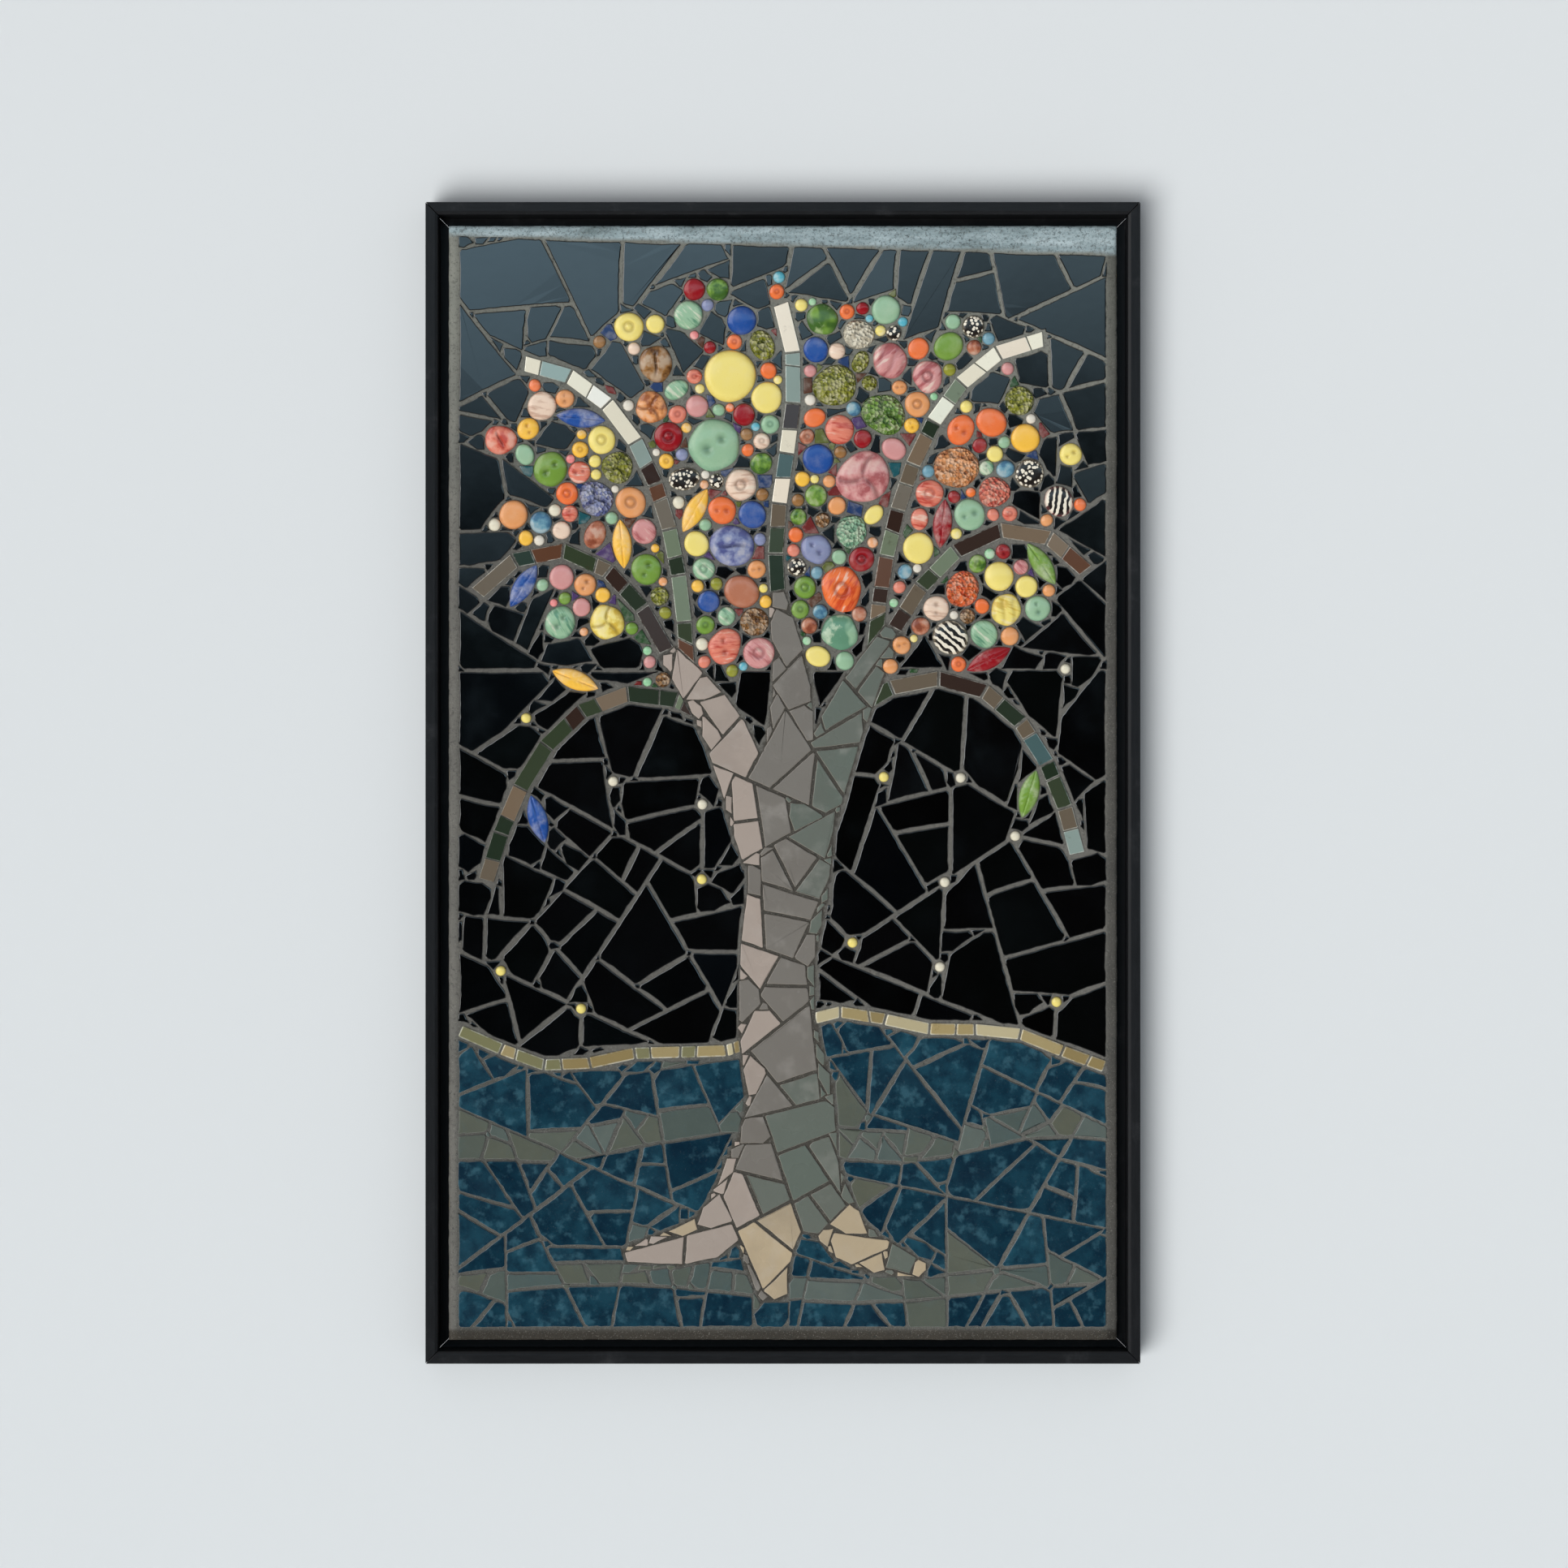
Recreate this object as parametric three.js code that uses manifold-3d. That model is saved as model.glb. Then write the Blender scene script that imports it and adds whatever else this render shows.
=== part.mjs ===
// A framed mosaic panel. A tree of broken glazed tile with mirror branches and glazed ceramic fruit stands on blue
// ground against black tile, all bedded in grey mortar on a plywood board. The board floats in a black tray frame
// of four mitred rails, and hangs by a French cleat screwed to its back.
//
// Everything is drawn in the panel's own frame, in millimetres: x to the right, y up, z out of the wall, with the
// wall at z = 0 and the middle of the panel at x = y = 0. The last group turns that to +Z up with the face towards
// -Y, and puts the origin at the middle of the cleat's back, where the panel hangs.
import * as THREE from "three";
import { mergeGeometries, mergeVertices } from "three/addons/utils/BufferGeometryUtils.js";
import Module from "manifold-3d";

const wasm = await Module();
wasm.setup();

// ---- Driving dimensions ----

const PANEL = { width: 600, height: 1000 };
const TOUCH = 0.3; // the gap between pieces that touch

// The tray frame: each rail is an L, with a lip that shows and a ledge that the board is screwed to.
const LIP = 11;
const FLOAT_GAP = 9;
const LEDGE = { reach: 34, thickness: 9 };
const FRAME_DEPTH = 40;
const LIP_BEVEL = { width: 2.5, depth: 1.6 };
const FRAME_MARGIN = LIP + FLOAT_GAP;

// The layers of the panel, as distances from the wall.
const BOARD = { back: LEDGE.thickness + TOUCH, front: 24 };
const MORTAR_BACK = BOARD.front + TOUCH;
const POCKET_FLOOR = 28.4;
const GROUT_FACE = 32;
const TILE_ROOT = GROUT_FACE - 1;
const TILE_FACE = 33;
const GLASS_FACE = 33.4;

// The French cleat, a bar with its lower edge cut at 45 degrees so that its back hooks over the wall's half.
const CLEAT = { length: 480, height: 60, thickness: LEDGE.thickness, above_middle: 400 };

// The bare mortar round the tiles, whose upper edge slopes down to the right.
const MARGIN = { left: 8, right: 9, bottom: 11, top_left: 9, top_right: 26 };
const JOINT = 3; // between two tiles
const CLEARANCE = 2.4; // between a tile and a figure that it is cut round

// The size that shards are broken down to, in square millimetres.
const SHARD = { open: 4000, crown: 2200, ground: 2900, tree: 1900 };

// Offcuts are left out below this area times roundness, which is 1 for a circle and near 0 for a sliver.
const LEAST_TILE = 260;

// Rows of glass strips: mirror for the branches, and gold along the ground.
const MIRROR = { width: 13.5, length: 42, joint: 1.8, edge: 1.6 };
const GOLD = { width: 10.5, length: 38, joint: 1.6, edge: 1.4 };

// The crown is an ellipse over the two lowest branches.
const CROWN = { middle: 258, across: 268, up: 196 };
const LEAF = { length: 44, width: 17, rise: 3.6, most: 10, turn: 0.75 };
const BEAD = { radius: 4.6, most: 14, apart: 64, clear: 12 };

// Round glazed pieces, the largest first. Fruit are pieces of their own, and buttons are set into the mortar.
const ROUNDS = [
  { kind: "fruit", radius: 24, count: 3, spread: 0.6 },
  { kind: "fruit", radius: 20, count: 5, spread: 0.75 },
  { kind: "fruit", radius: 16.5, count: 10, spread: 0.9 },
  { kind: "fruit", radius: 14.5, count: 14, spread: 1 },
  { kind: "button", radius: 13, count: 12, spread: 1 },
  { kind: "button", radius: 10, count: 12, spread: 1 },
  { kind: "button", radius: 7.5, count: 8, spread: 0.96 },
];
const ROUND_GAP = 2.2;
const TRIES = 5000;

// Seeds of everything that is left to chance.
const SEED = { rounds: 41, black: 131, blue: 31, tree: 67 };

// ---- Repeatable chance ----

function chanceFrom(seed) {
  let state = seed;
  return () => {
    state = (state + 0x6d2b79f5) | 0;
    let t = Math.imul(state ^ (state >>> 15), 1 | state);
    t = (t + Math.imul(t ^ (t >>> 7), 61 | t)) ^ t;
    return ((t ^ (t >>> 14)) >>> 0) / 4294967296;
  };
}

const between = (low, high, share) => low + (high - low) * share;
const point = (x, y) => new THREE.Vector2(x, y);
const steps = (count, make) => Array.from({ length: count }, (_, i) => make(i));

// ---- Solids ----

// A closed three.js geometry as a solid that can be cut and joined.
function solidFrom(geometry) {
  const loose = geometry.index ? geometry.toNonIndexed() : geometry;
  const bare = new THREE.BufferGeometry().setAttribute("position", loose.getAttribute("position"));
  const merged = mergeVertices(bare, 1e-3);
  return new wasm.Manifold(
    new wasm.Mesh({
      numProp: 3,
      vertProperties: merged.attributes.position.array,
      triVerts: new Uint32Array(merged.index.array),
    }),
  );
}

function geometryFrom(solid) {
  const { vertProperties, triVerts } = solid.getMesh();
  return new THREE.BufferGeometry()
    .setAttribute("position", new THREE.BufferAttribute(vertProperties, 3))
    .setIndex(new THREE.BufferAttribute(triVerts, 1));
}

// An outline pushed out from one distance to another.
const prism = (outline, back, front) =>
  new THREE.ExtrudeGeometry(new THREE.Shape(outline), { depth: front - back, bevelEnabled: false }).translate(
    0,
    0,
    back,
  );

const slab = (outline, back, front) => solidFrom(prism(outline, back, front));
const joined = (solids) => solids.reduce((all, next) => all.add(next));

// ---- Outlines ----

const rectangle = (left, right, bottom, top) => [
  point(left, bottom),
  point(right, bottom),
  point(right, top),
  point(left, top),
];
const WHOLE = rectangle(-PANEL.width / 2, PANEL.width / 2, -PANEL.height / 2, PANEL.height / 2);

// The outline of a strip that follows a curve between two shares of its length. Its width may change along it.
function strip(curve, widthAt, { from = 0, to = 1, count = 8, grow = 0 } = {}) {
  const right = [];
  const left = [];
  for (let i = 0; i <= count; i++) {
    const share = between(from, to, i / count);
    const along = curve.getTangentAt(share);
    const past = i === 0 ? -grow : i === count ? grow : 0;
    const middle = curve.getPointAt(share).addScaledVector(along, past);
    const across = point(-along.y, along.x).multiplyScalar(widthAt(share) / 2 + grow);
    left.unshift(middle.clone().add(across));
    right.push(middle.clone().sub(across));
  }
  return [...right, ...left];
}

// The part of a convex outline that lies behind a line.
function clipped(outline, on, outward) {
  const kept = [];
  outline.forEach((a, i) => {
    const b = outline[(i + 1) % outline.length];
    const here = a.clone().sub(on).dot(outward);
    const next = b.clone().sub(on).dot(outward);
    if (here <= 0) kept.push(a);
    if (here * next < 0) kept.push(a.clone().lerp(b, here / (here - next)));
  });
  return kept;
}

// The sides of a convex outline, each with the direction that faces out of it.
const sidesOf = (outline) =>
  outline.map((a, i) => {
    const b = outline[(i + 1) % outline.length];
    return { a, b, outward: point(b.y - a.y, a.x - b.x).normalize() };
  });

// A convex outline with every side moved in.
const inset = (outline, by) =>
  sidesOf(outline).reduce(
    (left, { a, outward }) => clipped(left, a.clone().addScaledVector(outward, -by), outward),
    outline,
  );

const middleOf = (outline) => outline.reduce((sum, p) => sum.add(p), point(0, 0)).divideScalar(outline.length);

// ---- Broken tile ----

const areaOf = (outline) => THREE.ShapeUtils.area(outline);
const edgeOf = (outline) => sidesOf(outline).reduce((sum, { a, b }) => sum + a.distanceTo(b), 0);
const roundness = (area, edge) => (4 * Math.PI * area) / edge ** 2;

// Two parts of a convex outline, from a cut across its longest way, near its middle.
function broken(outline, chance) {
  const ways = outline.flatMap((a) => outline.map((b) => b.clone().sub(a)));
  const longest = ways.reduce((best, way) => (way.lengthSq() > best.lengthSq() ? way : best)).clone();
  const on = middleOf(outline).addScaledVector(longest, between(-0.14, 0.14, chance()));
  const outward = longest.normalize().rotateAround(point(0, 0), between(-0.6, 0.6, chance()));
  return [outward, outward.clone().negate()].map((side) => clipped(outline, on, side));
}

// Breaks a convex outline again and again, until each shard is near the wanted area. The best of a few cuts is
// the one whose worse part is rounder.
const CUTS_TRIED = 3;
function shattered(outline, areaAt, chance) {
  if (areaOf(outline) < areaAt(middleOf(outline)) * between(0.5, 1.5, chance())) return [outline];
  const worse = (parts) => Math.min(...parts.map((part) => roundness(areaOf(part), edgeOf(part))));
  const cuts = steps(CUTS_TRIED, () => broken(outline, chance));
  const best = cuts.reduce((kept, cut) => (worse(cut) > worse(kept) ? cut : kept));
  return best.flatMap((part) => shattered(part, areaAt, chance));
}

// How near to a circle's middle a shard may come before its joint is taken off it.
const keptOff = ({ radius }) => radius + CLEARANCE - JOINT / 2;

const reaches = (circle, outline) =>
  outline.length > 2 &&
  sidesOf(outline).every(({ a, outward }) => circle.at.clone().sub(a).dot(outward) < keptOff(circle));

// Cuts a shard clear of round pieces with straight cuts: the part beyond each one, and the parts on both sides of it.
function cutClear(shard, circles) {
  const [first, ...others] = circles.filter((circle) => reaches(circle, shard));
  if (!first) return [shard];
  const away = middleOf(shard).sub(first.at).normalize();
  const across = point(-away.y, away.x);
  const beyond = (part, way) => clipped(part, first.at.clone().addScaledVector(way, keptOff(first)), way.negate());
  const near = clipped(shard, first.at.clone().addScaledVector(away, keptOff(first)), away);
  return [beyond(shard, away), beyond(near, across.clone()), beyond(near, across.negate())].flatMap((part) =>
    part.length > 2 ? cutClear(part, others) : [],
  );
}

const worthSetting = (area, edge) => area * roundness(area, edge) > LEAST_TILE;

// Shards as one solid of separate tiles rooted in the mortar, clear of the circles.
function tilesFrom(shards, circles) {
  const tiles = shards
    .flatMap((shard) => cutClear(shard, circles))
    .map((shard) => inset(shard, JOINT / 2))
    .filter((tile) => tile.length > 2 && worthSetting(areaOf(tile), edgeOf(tile)));
  return solidFrom(mergeGeometries(tiles.map((tile) => prism(tile, TILE_ROOT, TILE_FACE))));
}

// The tiles left whole enough after a cut, as a mosaicist would pick them.
function usable(tiles) {
  const height = TILE_FACE - TILE_ROOT;
  const kept = tiles.decompose().filter((tile) => {
    const area = tile.volume() / height;
    return worthSetting(area, (tile.surfaceArea() - 2 * area) / height);
  });
  return joined(kept);
}

// ---- The tree ----

// A smooth plane curve through places.
function curveThrough(...places) {
  const curve = new THREE.CatmullRomCurve3(places.map(([x, y]) => new THREE.Vector3(x, y, 0)));
  return {
    getPointAt: (share) => {
      const { x, y } = curve.getPointAt(share);
      return point(x, y);
    },
    getTangentAt: (share) => {
      const { x, y } = curve.getTangentAt(share);
      return point(x, y).normalize();
    },
    getLength: () => curve.getLength(),
  };
}

// Each limb follows a curve and narrows from one width to another. A bow below 0 makes it slimmer midway.
const TRUNK = { curve: curveThrough([-6, -400], [8, -300], [-8, -190], [6, -80], [0, 30]), widths: [112, 100], bow: -38 };
const BOUGHS = [
  { curve: curveThrough([-16, -70], [-52, 46], [-104, 118]), widths: [40, 18], bow: 14 },
  { curve: curveThrough([0, -20], [8, 88], [-6, 172]), widths: [50, 16], bow: 4 },
  { curve: curveThrough([16, -70], [54, 54], [100, 138]), widths: [40, 18], bow: 14 },
];
const ROOTS = [
  { curve: curveThrough([-18, -320], [-60, -402], [-142, -424]), widths: [44, 14], bow: 16 },
  { curve: curveThrough([-2, -350], [-14, -416], [-8, -464]), widths: [86, 24], bow: 0 },
  { curve: curveThrough([18, -320], [58, -408], [128, -438]), widths: [44, 14], bow: 16 },
];
const LIMBS = [TRUNK, ...BOUGHS, ...ROOTS];

const limbWidth = ({ widths: [low, high], bow }) => (share) =>
  between(low, high, share) + bow * Math.sin(Math.PI * share);

const tree = (grow, back, front) =>
  joined(LIMBS.map((limb) => slab(strip(limb.curve, limbWidth(limb), { count: 7, grow }), back, front)));

// ---- The rows of glass ----

const sweep = (...places) => new THREE.CubicBezierCurve(...places.map(([x, y]) => point(x, y)));

// The branches spring from the boughs and arch over.
const BRANCHES = [
  { name: "branch_left_low", curve: sweep([-56, 54], [-150, 118], [-226, 62], [-266, -88]) },
  { name: "branch_right_low", curve: sweep([60, 64], [150, 130], [232, 84], [264, -64]) },
  { name: "branch_left_middle", curve: sweep([-104, 118], [-150, 216], [-222, 236], [-274, 170]) },
  { name: "branch_right_middle", curve: sweep([100, 138], [150, 232], [222, 256], [272, 190]) },
  { name: "branch_left_high", curve: sweep([-86, 102], [-92, 280], [-150, 368], [-232, 376]) },
  { name: "branch_right_high", curve: sweep([82, 118], [94, 290], [156, 392], [234, 398]) },
  { name: "branch_top", curve: sweep([-4, 160], [-18, 270], [32, 340], [-2, 430]) },
].map((branch) => ({ ...branch, ...MIRROR }));

const FIELD = {
  left: MARGIN.left - PANEL.width / 2,
  right: PANEL.width / 2 - MARGIN.right,
  bottom: MARGIN.bottom - PANEL.height / 2,
};

// The ground's rolling upper edge.
const groundAt = (x) => -236 + 20 * Math.sin(x / 78 + 0.5) + 7 * Math.sin(x / 27);

// The gold edging lies along the ground, from each side of the field to the tree.
function edging(name, from, to) {
  const above = GOLD.width / 2 + GOLD.edge - 1;
  const places = steps(9, (i) => between(from, to, i / 8)).map((x) => [x, groundAt(x) + above]);
  return { name, curve: curveThrough(...places), ...GOLD };
}
const EDGINGS = [edging("gold_edging_left", FIELD.left + 2, -12), edging("gold_edging_right", 12, FIELD.right - 2)];
const GLASS_ROWS = [...BRANCHES, ...EDGINGS];

const countIn = ({ curve, length, joint }) => Math.round(curve.getLength() / (length + joint));

const rowPlace = ({ curve, width, ...row }, grow, back, front) =>
  slab(strip(curve, () => width, { count: countIn({ curve, ...row }), grow }), back, front);

// One row as one piece: its mortar bed, and its strips of glass with a joint between each two.
function glassRow(row) {
  const { curve, width, joint, edge } = row;
  const count = countIn(row);
  const half = joint / curve.getLength() / 2;
  const strips = steps(count, (i) =>
    prism(
      strip(curve, () => width, { from: i / count + half, to: (i + 1) / count - half, count: 1 }),
      TILE_ROOT,
      GLASS_FACE,
    ),
  );
  const whole = rowPlace(row, edge, POCKET_FLOOR + TOUCH, GROUT_FACE).add(solidFrom(mergeGeometries(strips)));
  return whole.subtract(tree(TOUCH, POCKET_FLOOR, FRAME_DEPTH));
}

// ---- Leaves, fruit, buttons and beads ----

// What already stands in the way of a new piece, as circles.
const taken = [];
const hasRoom = ({ at, radius }, gap) =>
  taken.every((other) => at.distanceTo(other.at) > radius + other.radius + gap);

const circlesAlong = (curve, widthAt, count) =>
  steps(count + 1, (i) => ({ at: curve.getPointAt(i / count), radius: widthAt(i / count) / 2 }));

LIMBS.forEach((limb) => taken.push(...circlesAlong(limb.curve, limbWidth(limb), 24)));
BRANCHES.forEach(({ curve, width, edge }) => taken.push(...circlesAlong(curve, () => width + 2 * edge, 48)));

const fieldTop = (x) =>
  PANEL.height / 2 - between(MARGIN.top_left, MARGIN.top_right, (x - FIELD.left) / (FIELD.right - FIELD.left));

const inField = ({ at, radius }) =>
  Math.min(at.x - FIELD.left, FIELD.right - at.x, fieldTop(at.x) - at.y) > radius + CLEARANCE;

// Leaves stand off the branches to one side and the other.
const LEAF_SHARES = [0.36, 0.72];
function besideBranches() {
  const found = [];
  BRANCHES.forEach(({ curve, width, edge }, row) =>
    LEAF_SHARES.forEach((share, i) => {
      const side = (row + i) % 2 ? 1 : -1;
      const along = curve.getTangentAt(share);
      const spine = along.clone().rotateAround(point(0, 0), side * LEAF.turn);
      const stem = point(-along.y, along.x).multiplyScalar(side * (width / 2 + edge + 3));
      const at = curve.getPointAt(share).add(stem).addScaledVector(spine, LEAF.length / 2);
      const spots = [-0.3, 0, 0.3].map((way) => ({
        at: at.clone().addScaledVector(spine, way * LEAF.length),
        radius: (LEAF.width / 2) * (1 - Math.abs(way)),
      }));
      if (found.length === LEAF.most || !spots.every((spot) => inField(spot) && hasRoom(spot, 1))) return;
      taken.push(...spots);
      found.push({ at, turn: Math.atan2(spine.y, spine.x) });
    }),
  );
  return found;
}
const leaves = besideBranches();

const LOW_BRANCHES = BRANCHES.slice(0, 2).flatMap(({ curve }) => curve.getSpacedPoints(60));
const underBranch = (at) => LOW_BRANCHES.some((p) => Math.abs(p.x - at.x) < 6 && p.y > at.y);

// 0 in the middle of the crown, 1 at its rim and more outside.
const crownShare = (at) =>
  underBranch(at) ? Infinity : Math.hypot(at.x / CROWN.across, (at.y - CROWN.middle) / CROWN.up);

// Each try lands somewhere in the crown, less often near its rim, and stays if there is room.
function scattered() {
  const chance = chanceFrom(SEED.rounds);
  const found = [];
  for (const { kind, radius, count, spread } of ROUNDS) {
    for (let i = 0, set = 0; i < TRIES && set < count; i++) {
      const x = between(-CROWN.across, CROWN.across, chance());
      const y = CROWN.middle + between(-CROWN.up, CROWN.up, chance());
      const piece = { kind, at: point(x, y), radius };
      const share = crownShare(piece.at);
      if (share > spread || chance() < 0.7 * share ** 3) continue;
      if (!inField(piece) || !hasRoom(piece, ROUND_GAP)) continue;
      taken.push(piece);
      found.push({ ...piece, turn: 2 * Math.PI * chance(), stretch: between(0.88, 1, chance()) });
      set++;
    }
  }
  return found;
}
const rounds = scattered();

// The black field's upper part, and the shards that it is broken into.
const blackShards = shattered(
  [
    point(FIELD.left, FIELD.bottom),
    point(FIELD.right, FIELD.bottom),
    point(FIELD.right, fieldTop(FIELD.right)),
    point(FIELD.left, fieldTop(FIELD.left)),
  ],
  (at) => (crownShare(at) < 1 ? SHARD.crown : SHARD.open),
  chanceFrom(SEED.black),
);

// Small gold beads lie where the corners of large black tiles meet, far apart.
function atCorners() {
  const found = [];
  for (const at of blackShards.flat()) {
    const bead = { kind: "bead", at, radius: BEAD.radius };
    const apart = found.every((other) => other.at.distanceTo(at) > BEAD.apart);
    const open = crownShare(at) > 1.05 && at.y > groundAt(at.x) + 40 && inField({ at, radius: 20 });
    if (found.length < BEAD.most && apart && open && hasRoom(bead, BEAD.clear)) found.push(bead);
  }
  return found;
}
const beads = atCorners();

// A low glazed dome with an upright edge.
const dome = (radius, foot, edge, top, sides) =>
  new THREE.LatheGeometry([point(0, foot), point(radius, foot), point(radius, edge), point(0, top)], sides).rotateX(
    Math.PI / 2,
  );

const FOOT = GROUT_FACE + TOUCH;
const FRUIT_SIDES = 10;
const domeTop = (radius) => GROUT_FACE + 3.2 + radius * 0.08;

const fruit = ({ radius, stretch }) =>
  dome(radius, FOOT, GROUT_FACE + 2.2, domeTop(radius), FRUIT_SIDES).scale(1, stretch, 1);

const button = ({ at, radius }) =>
  dome(radius, TILE_ROOT, GROUT_FACE + 1.6, domeTop(radius), radius < 9 ? 6 : 8).translate(at.x, at.y, 0);

// A leaf is pointed at both ends.
function leafOutline(grow) {
  const bend = LEAF.width + 2 * grow;
  const end = LEAF.length / 2 + 1.5 * grow;
  return new THREE.Shape()
    .moveTo(-end, 0)
    .quadraticCurveTo(0, -bend, end, 0)
    .quadraticCurveTo(0, bend, -end, 0)
    .getPoints(4)
    .slice(0, -1);
}
const leafPlace = ({ at, turn }) => slab(
  leafOutline(CLEARANCE).map((p) => p.clone().rotateAround(point(0, 0), turn).add(at)),
  TILE_ROOT - 1,
  FRAME_DEPTH,
);

// ---- The tile groups ----

// The ground's outline, with its upper edge raised and its other edges moved out.
function groundOutline(raise, out) {
  const [left, right, bottom] = [FIELD.left - out, FIELD.right + out, FIELD.bottom - out];
  const rim = steps(25, (i) => between(right, left, i / 24)).map((x) => point(x, groundAt(x) + raise));
  return [point(left, bottom), point(right, bottom), ...rim];
}

// The space of the figures that tiles are cut round: rows of glass and leaves, grown by the clearance.
const OPEN_SPACE = [TILE_ROOT - 1, FRAME_DEPTH];
const figures = joined([
  ...GLASS_ROWS.map((row) => rowPlace(row, CLEARANCE, ...OPEN_SPACE)),
  ...leaves.map(leafPlace),
]);

// The mortar bed of the whole panel, with the black tiles, buttons and beads. The other groups lie in pockets in it.
function blackField() {
  const pockets = joined([
    slab(groundOutline(0, TOUCH), POCKET_FLOOR, FRAME_DEPTH),
    tree(TOUCH, POCKET_FLOOR, FRAME_DEPTH),
    ...GLASS_ROWS.map((row) => rowPlace(row, row.edge + TOUCH, POCKET_FLOOR, FRAME_DEPTH)),
  ]);
  const tiles = tilesFrom(blackShards, [...rounds, ...beads])
    .subtract(figures)
    .subtract(tree(CLEARANCE, ...OPEN_SPACE))
    .subtract(slab(groundOutline(GOLD.width, 20), ...OPEN_SPACE));
  const small = [...rounds.filter(({ kind }) => kind === "button"), ...beads].map(button);
  return slab(WHOLE, MORTAR_BACK, GROUT_FACE)
    .subtract(pockets)
    .add(usable(tiles))
    .add(solidFrom(mergeGeometries(small)));
}

// The ground is a bed of its own with its tiles, and so is the tree.
function blueGround() {
  const bed = slab(groundOutline(-TOUCH, 0), POCKET_FLOOR + TOUCH, GROUT_FACE)
    .subtract(tree(TOUCH, POCKET_FLOOR, FRAME_DEPTH))
    .subtract(joined(EDGINGS.map((row) => rowPlace(row, row.edge + TOUCH, POCKET_FLOOR, FRAME_DEPTH))));
  const shards = shattered(
    rectangle(FIELD.left, FIELD.right, FIELD.bottom, groundAt(0) + 60),
    () => SHARD.ground,
    chanceFrom(SEED.blue),
  );
  const tiles = tilesFrom(shards, [])
    .intersect(slab(groundOutline(-JOINT / 2, 0), ...OPEN_SPACE))
    .subtract(figures)
    .subtract(tree(CLEARANCE, ...OPEN_SPACE));
  return bed.add(usable(tiles));
}

function treeTiles() {
  const shards = shattered(rectangle(-150, 150, -480, 200), () => SHARD.tree, chanceFrom(SEED.tree));
  const tiles = tilesFrom(shards, []).intersect(tree(-1, ...OPEN_SPACE));
  return tree(0, POCKET_FLOOR + TOUCH, GROUT_FACE).add(usable(tiles));
}

// ---- The frame, board and cleat ----

// One rail with mitred ends, lying along x with its outer edge at y = 0 and its inner side upwards.
function rail(outerLength) {
  const section = [
    point(0, 0),
    point(LEDGE.reach, 0),
    point(LEDGE.reach, LEDGE.thickness),
    point(LIP, LEDGE.thickness),
    point(LIP, FRAME_DEPTH - LIP_BEVEL.depth),
    point(LIP - LIP_BEVEL.width, FRAME_DEPTH),
    point(0, FRAME_DEPTH),
  ];
  const geometry = prism(section, -1, 1);
  const places = geometry.getAttribute("position");
  for (let i = 0; i < places.count; i++) {
    const inward = places.getX(i);
    const along = places.getZ(i) * (outerLength / 2 - inward - TOUCH);
    places.setXYZ(i, along, inward, places.getY(i));
  }
  return geometry;
}

// The cleat's back lies on the wall and reaches lower than its front.
function cleat() {
  const half = CLEAT.height / 2;
  const section = [
    point(0, -half),
    point(CLEAT.thickness, CLEAT.thickness - half),
    point(CLEAT.thickness, half),
    point(0, half),
  ];
  return prism(section, -CLEAT.length / 2, CLEAT.length / 2).rotateY(-Math.PI / 2);
}

// ---- Materials ----

const finish = (color, roughness, metalness = 0) =>
  new THREE.MeshStandardMaterial({ color, roughness, metalness, flatShading: true });

const BLACK_PAINT = finish(0x1f2022, 0.5);
const PLYWOOD = finish(0xb08d62, 0.75);
const BLACK_TILE = finish(0x15181c, 0.15);
const BLUE_TILE = finish(0x1c4a63, 0.2);
const TREE_TILE = finish(0xa79c94, 0.35);
const MIRROR_GLASS = finish(0xdfe6e4, 0.05, 1);
const GOLD_GLASS = finish(0xbfae84, 0.2, 1);
const FRUIT_GLAZES = [
  0xc6706c, 0x8fbf9a, 0xe9dc7c, 0x6f9f3e, 0xd9925f, 0x8a9cc8, 0xf0a63a, 0xa8b63a, 0xcfc8bb, 0xe0653f,
].map((color) => finish(color, 0.12));
const LEAF_GLAZES = [0xf0e27a, 0x2a5fae, 0xa8152a, 0x4c7d3a].map((color) => finish(color, 0.12));

// ---- Assembly ----

const panel = new THREE.Group();

function add(name, geometry, material, { x = 0, y = 0, turn = 0 } = {}) {
  const mesh = new THREE.Mesh(geometry, material);
  mesh.name = name;
  mesh.position.set(x, y, 0);
  mesh.rotation.z = turn;
  panel.add(mesh);
}

const OUTER = { width: PANEL.width + 2 * FRAME_MARGIN, height: PANEL.height + 2 * FRAME_MARGIN };
add("frame_bottom", rail(OUTER.width), BLACK_PAINT, { y: -OUTER.height / 2 });
add("frame_right", rail(OUTER.height), BLACK_PAINT, { x: OUTER.width / 2, turn: Math.PI / 2 });
add("frame_top", rail(OUTER.width), BLACK_PAINT, { y: OUTER.height / 2, turn: Math.PI });
add("frame_left", rail(OUTER.height), BLACK_PAINT, { x: -OUTER.width / 2, turn: -Math.PI / 2 });
add("backing_board", prism(WHOLE, BOARD.back, BOARD.front), PLYWOOD);
add("hanging_cleat", cleat(), PLYWOOD, { y: CLEAT.above_middle });

add("black_field_tiles", geometryFrom(blackField()), BLACK_TILE);
add("blue_ground_tiles", geometryFrom(blueGround()), BLUE_TILE);
add("tree_tiles", geometryFrom(treeTiles()), TREE_TILE);
BRANCHES.forEach((row) => add(row.name, geometryFrom(glassRow(row)), MIRROR_GLASS));
EDGINGS.forEach((row) => add(row.name, geometryFrom(glassRow(row)), GOLD_GLASS));

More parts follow.
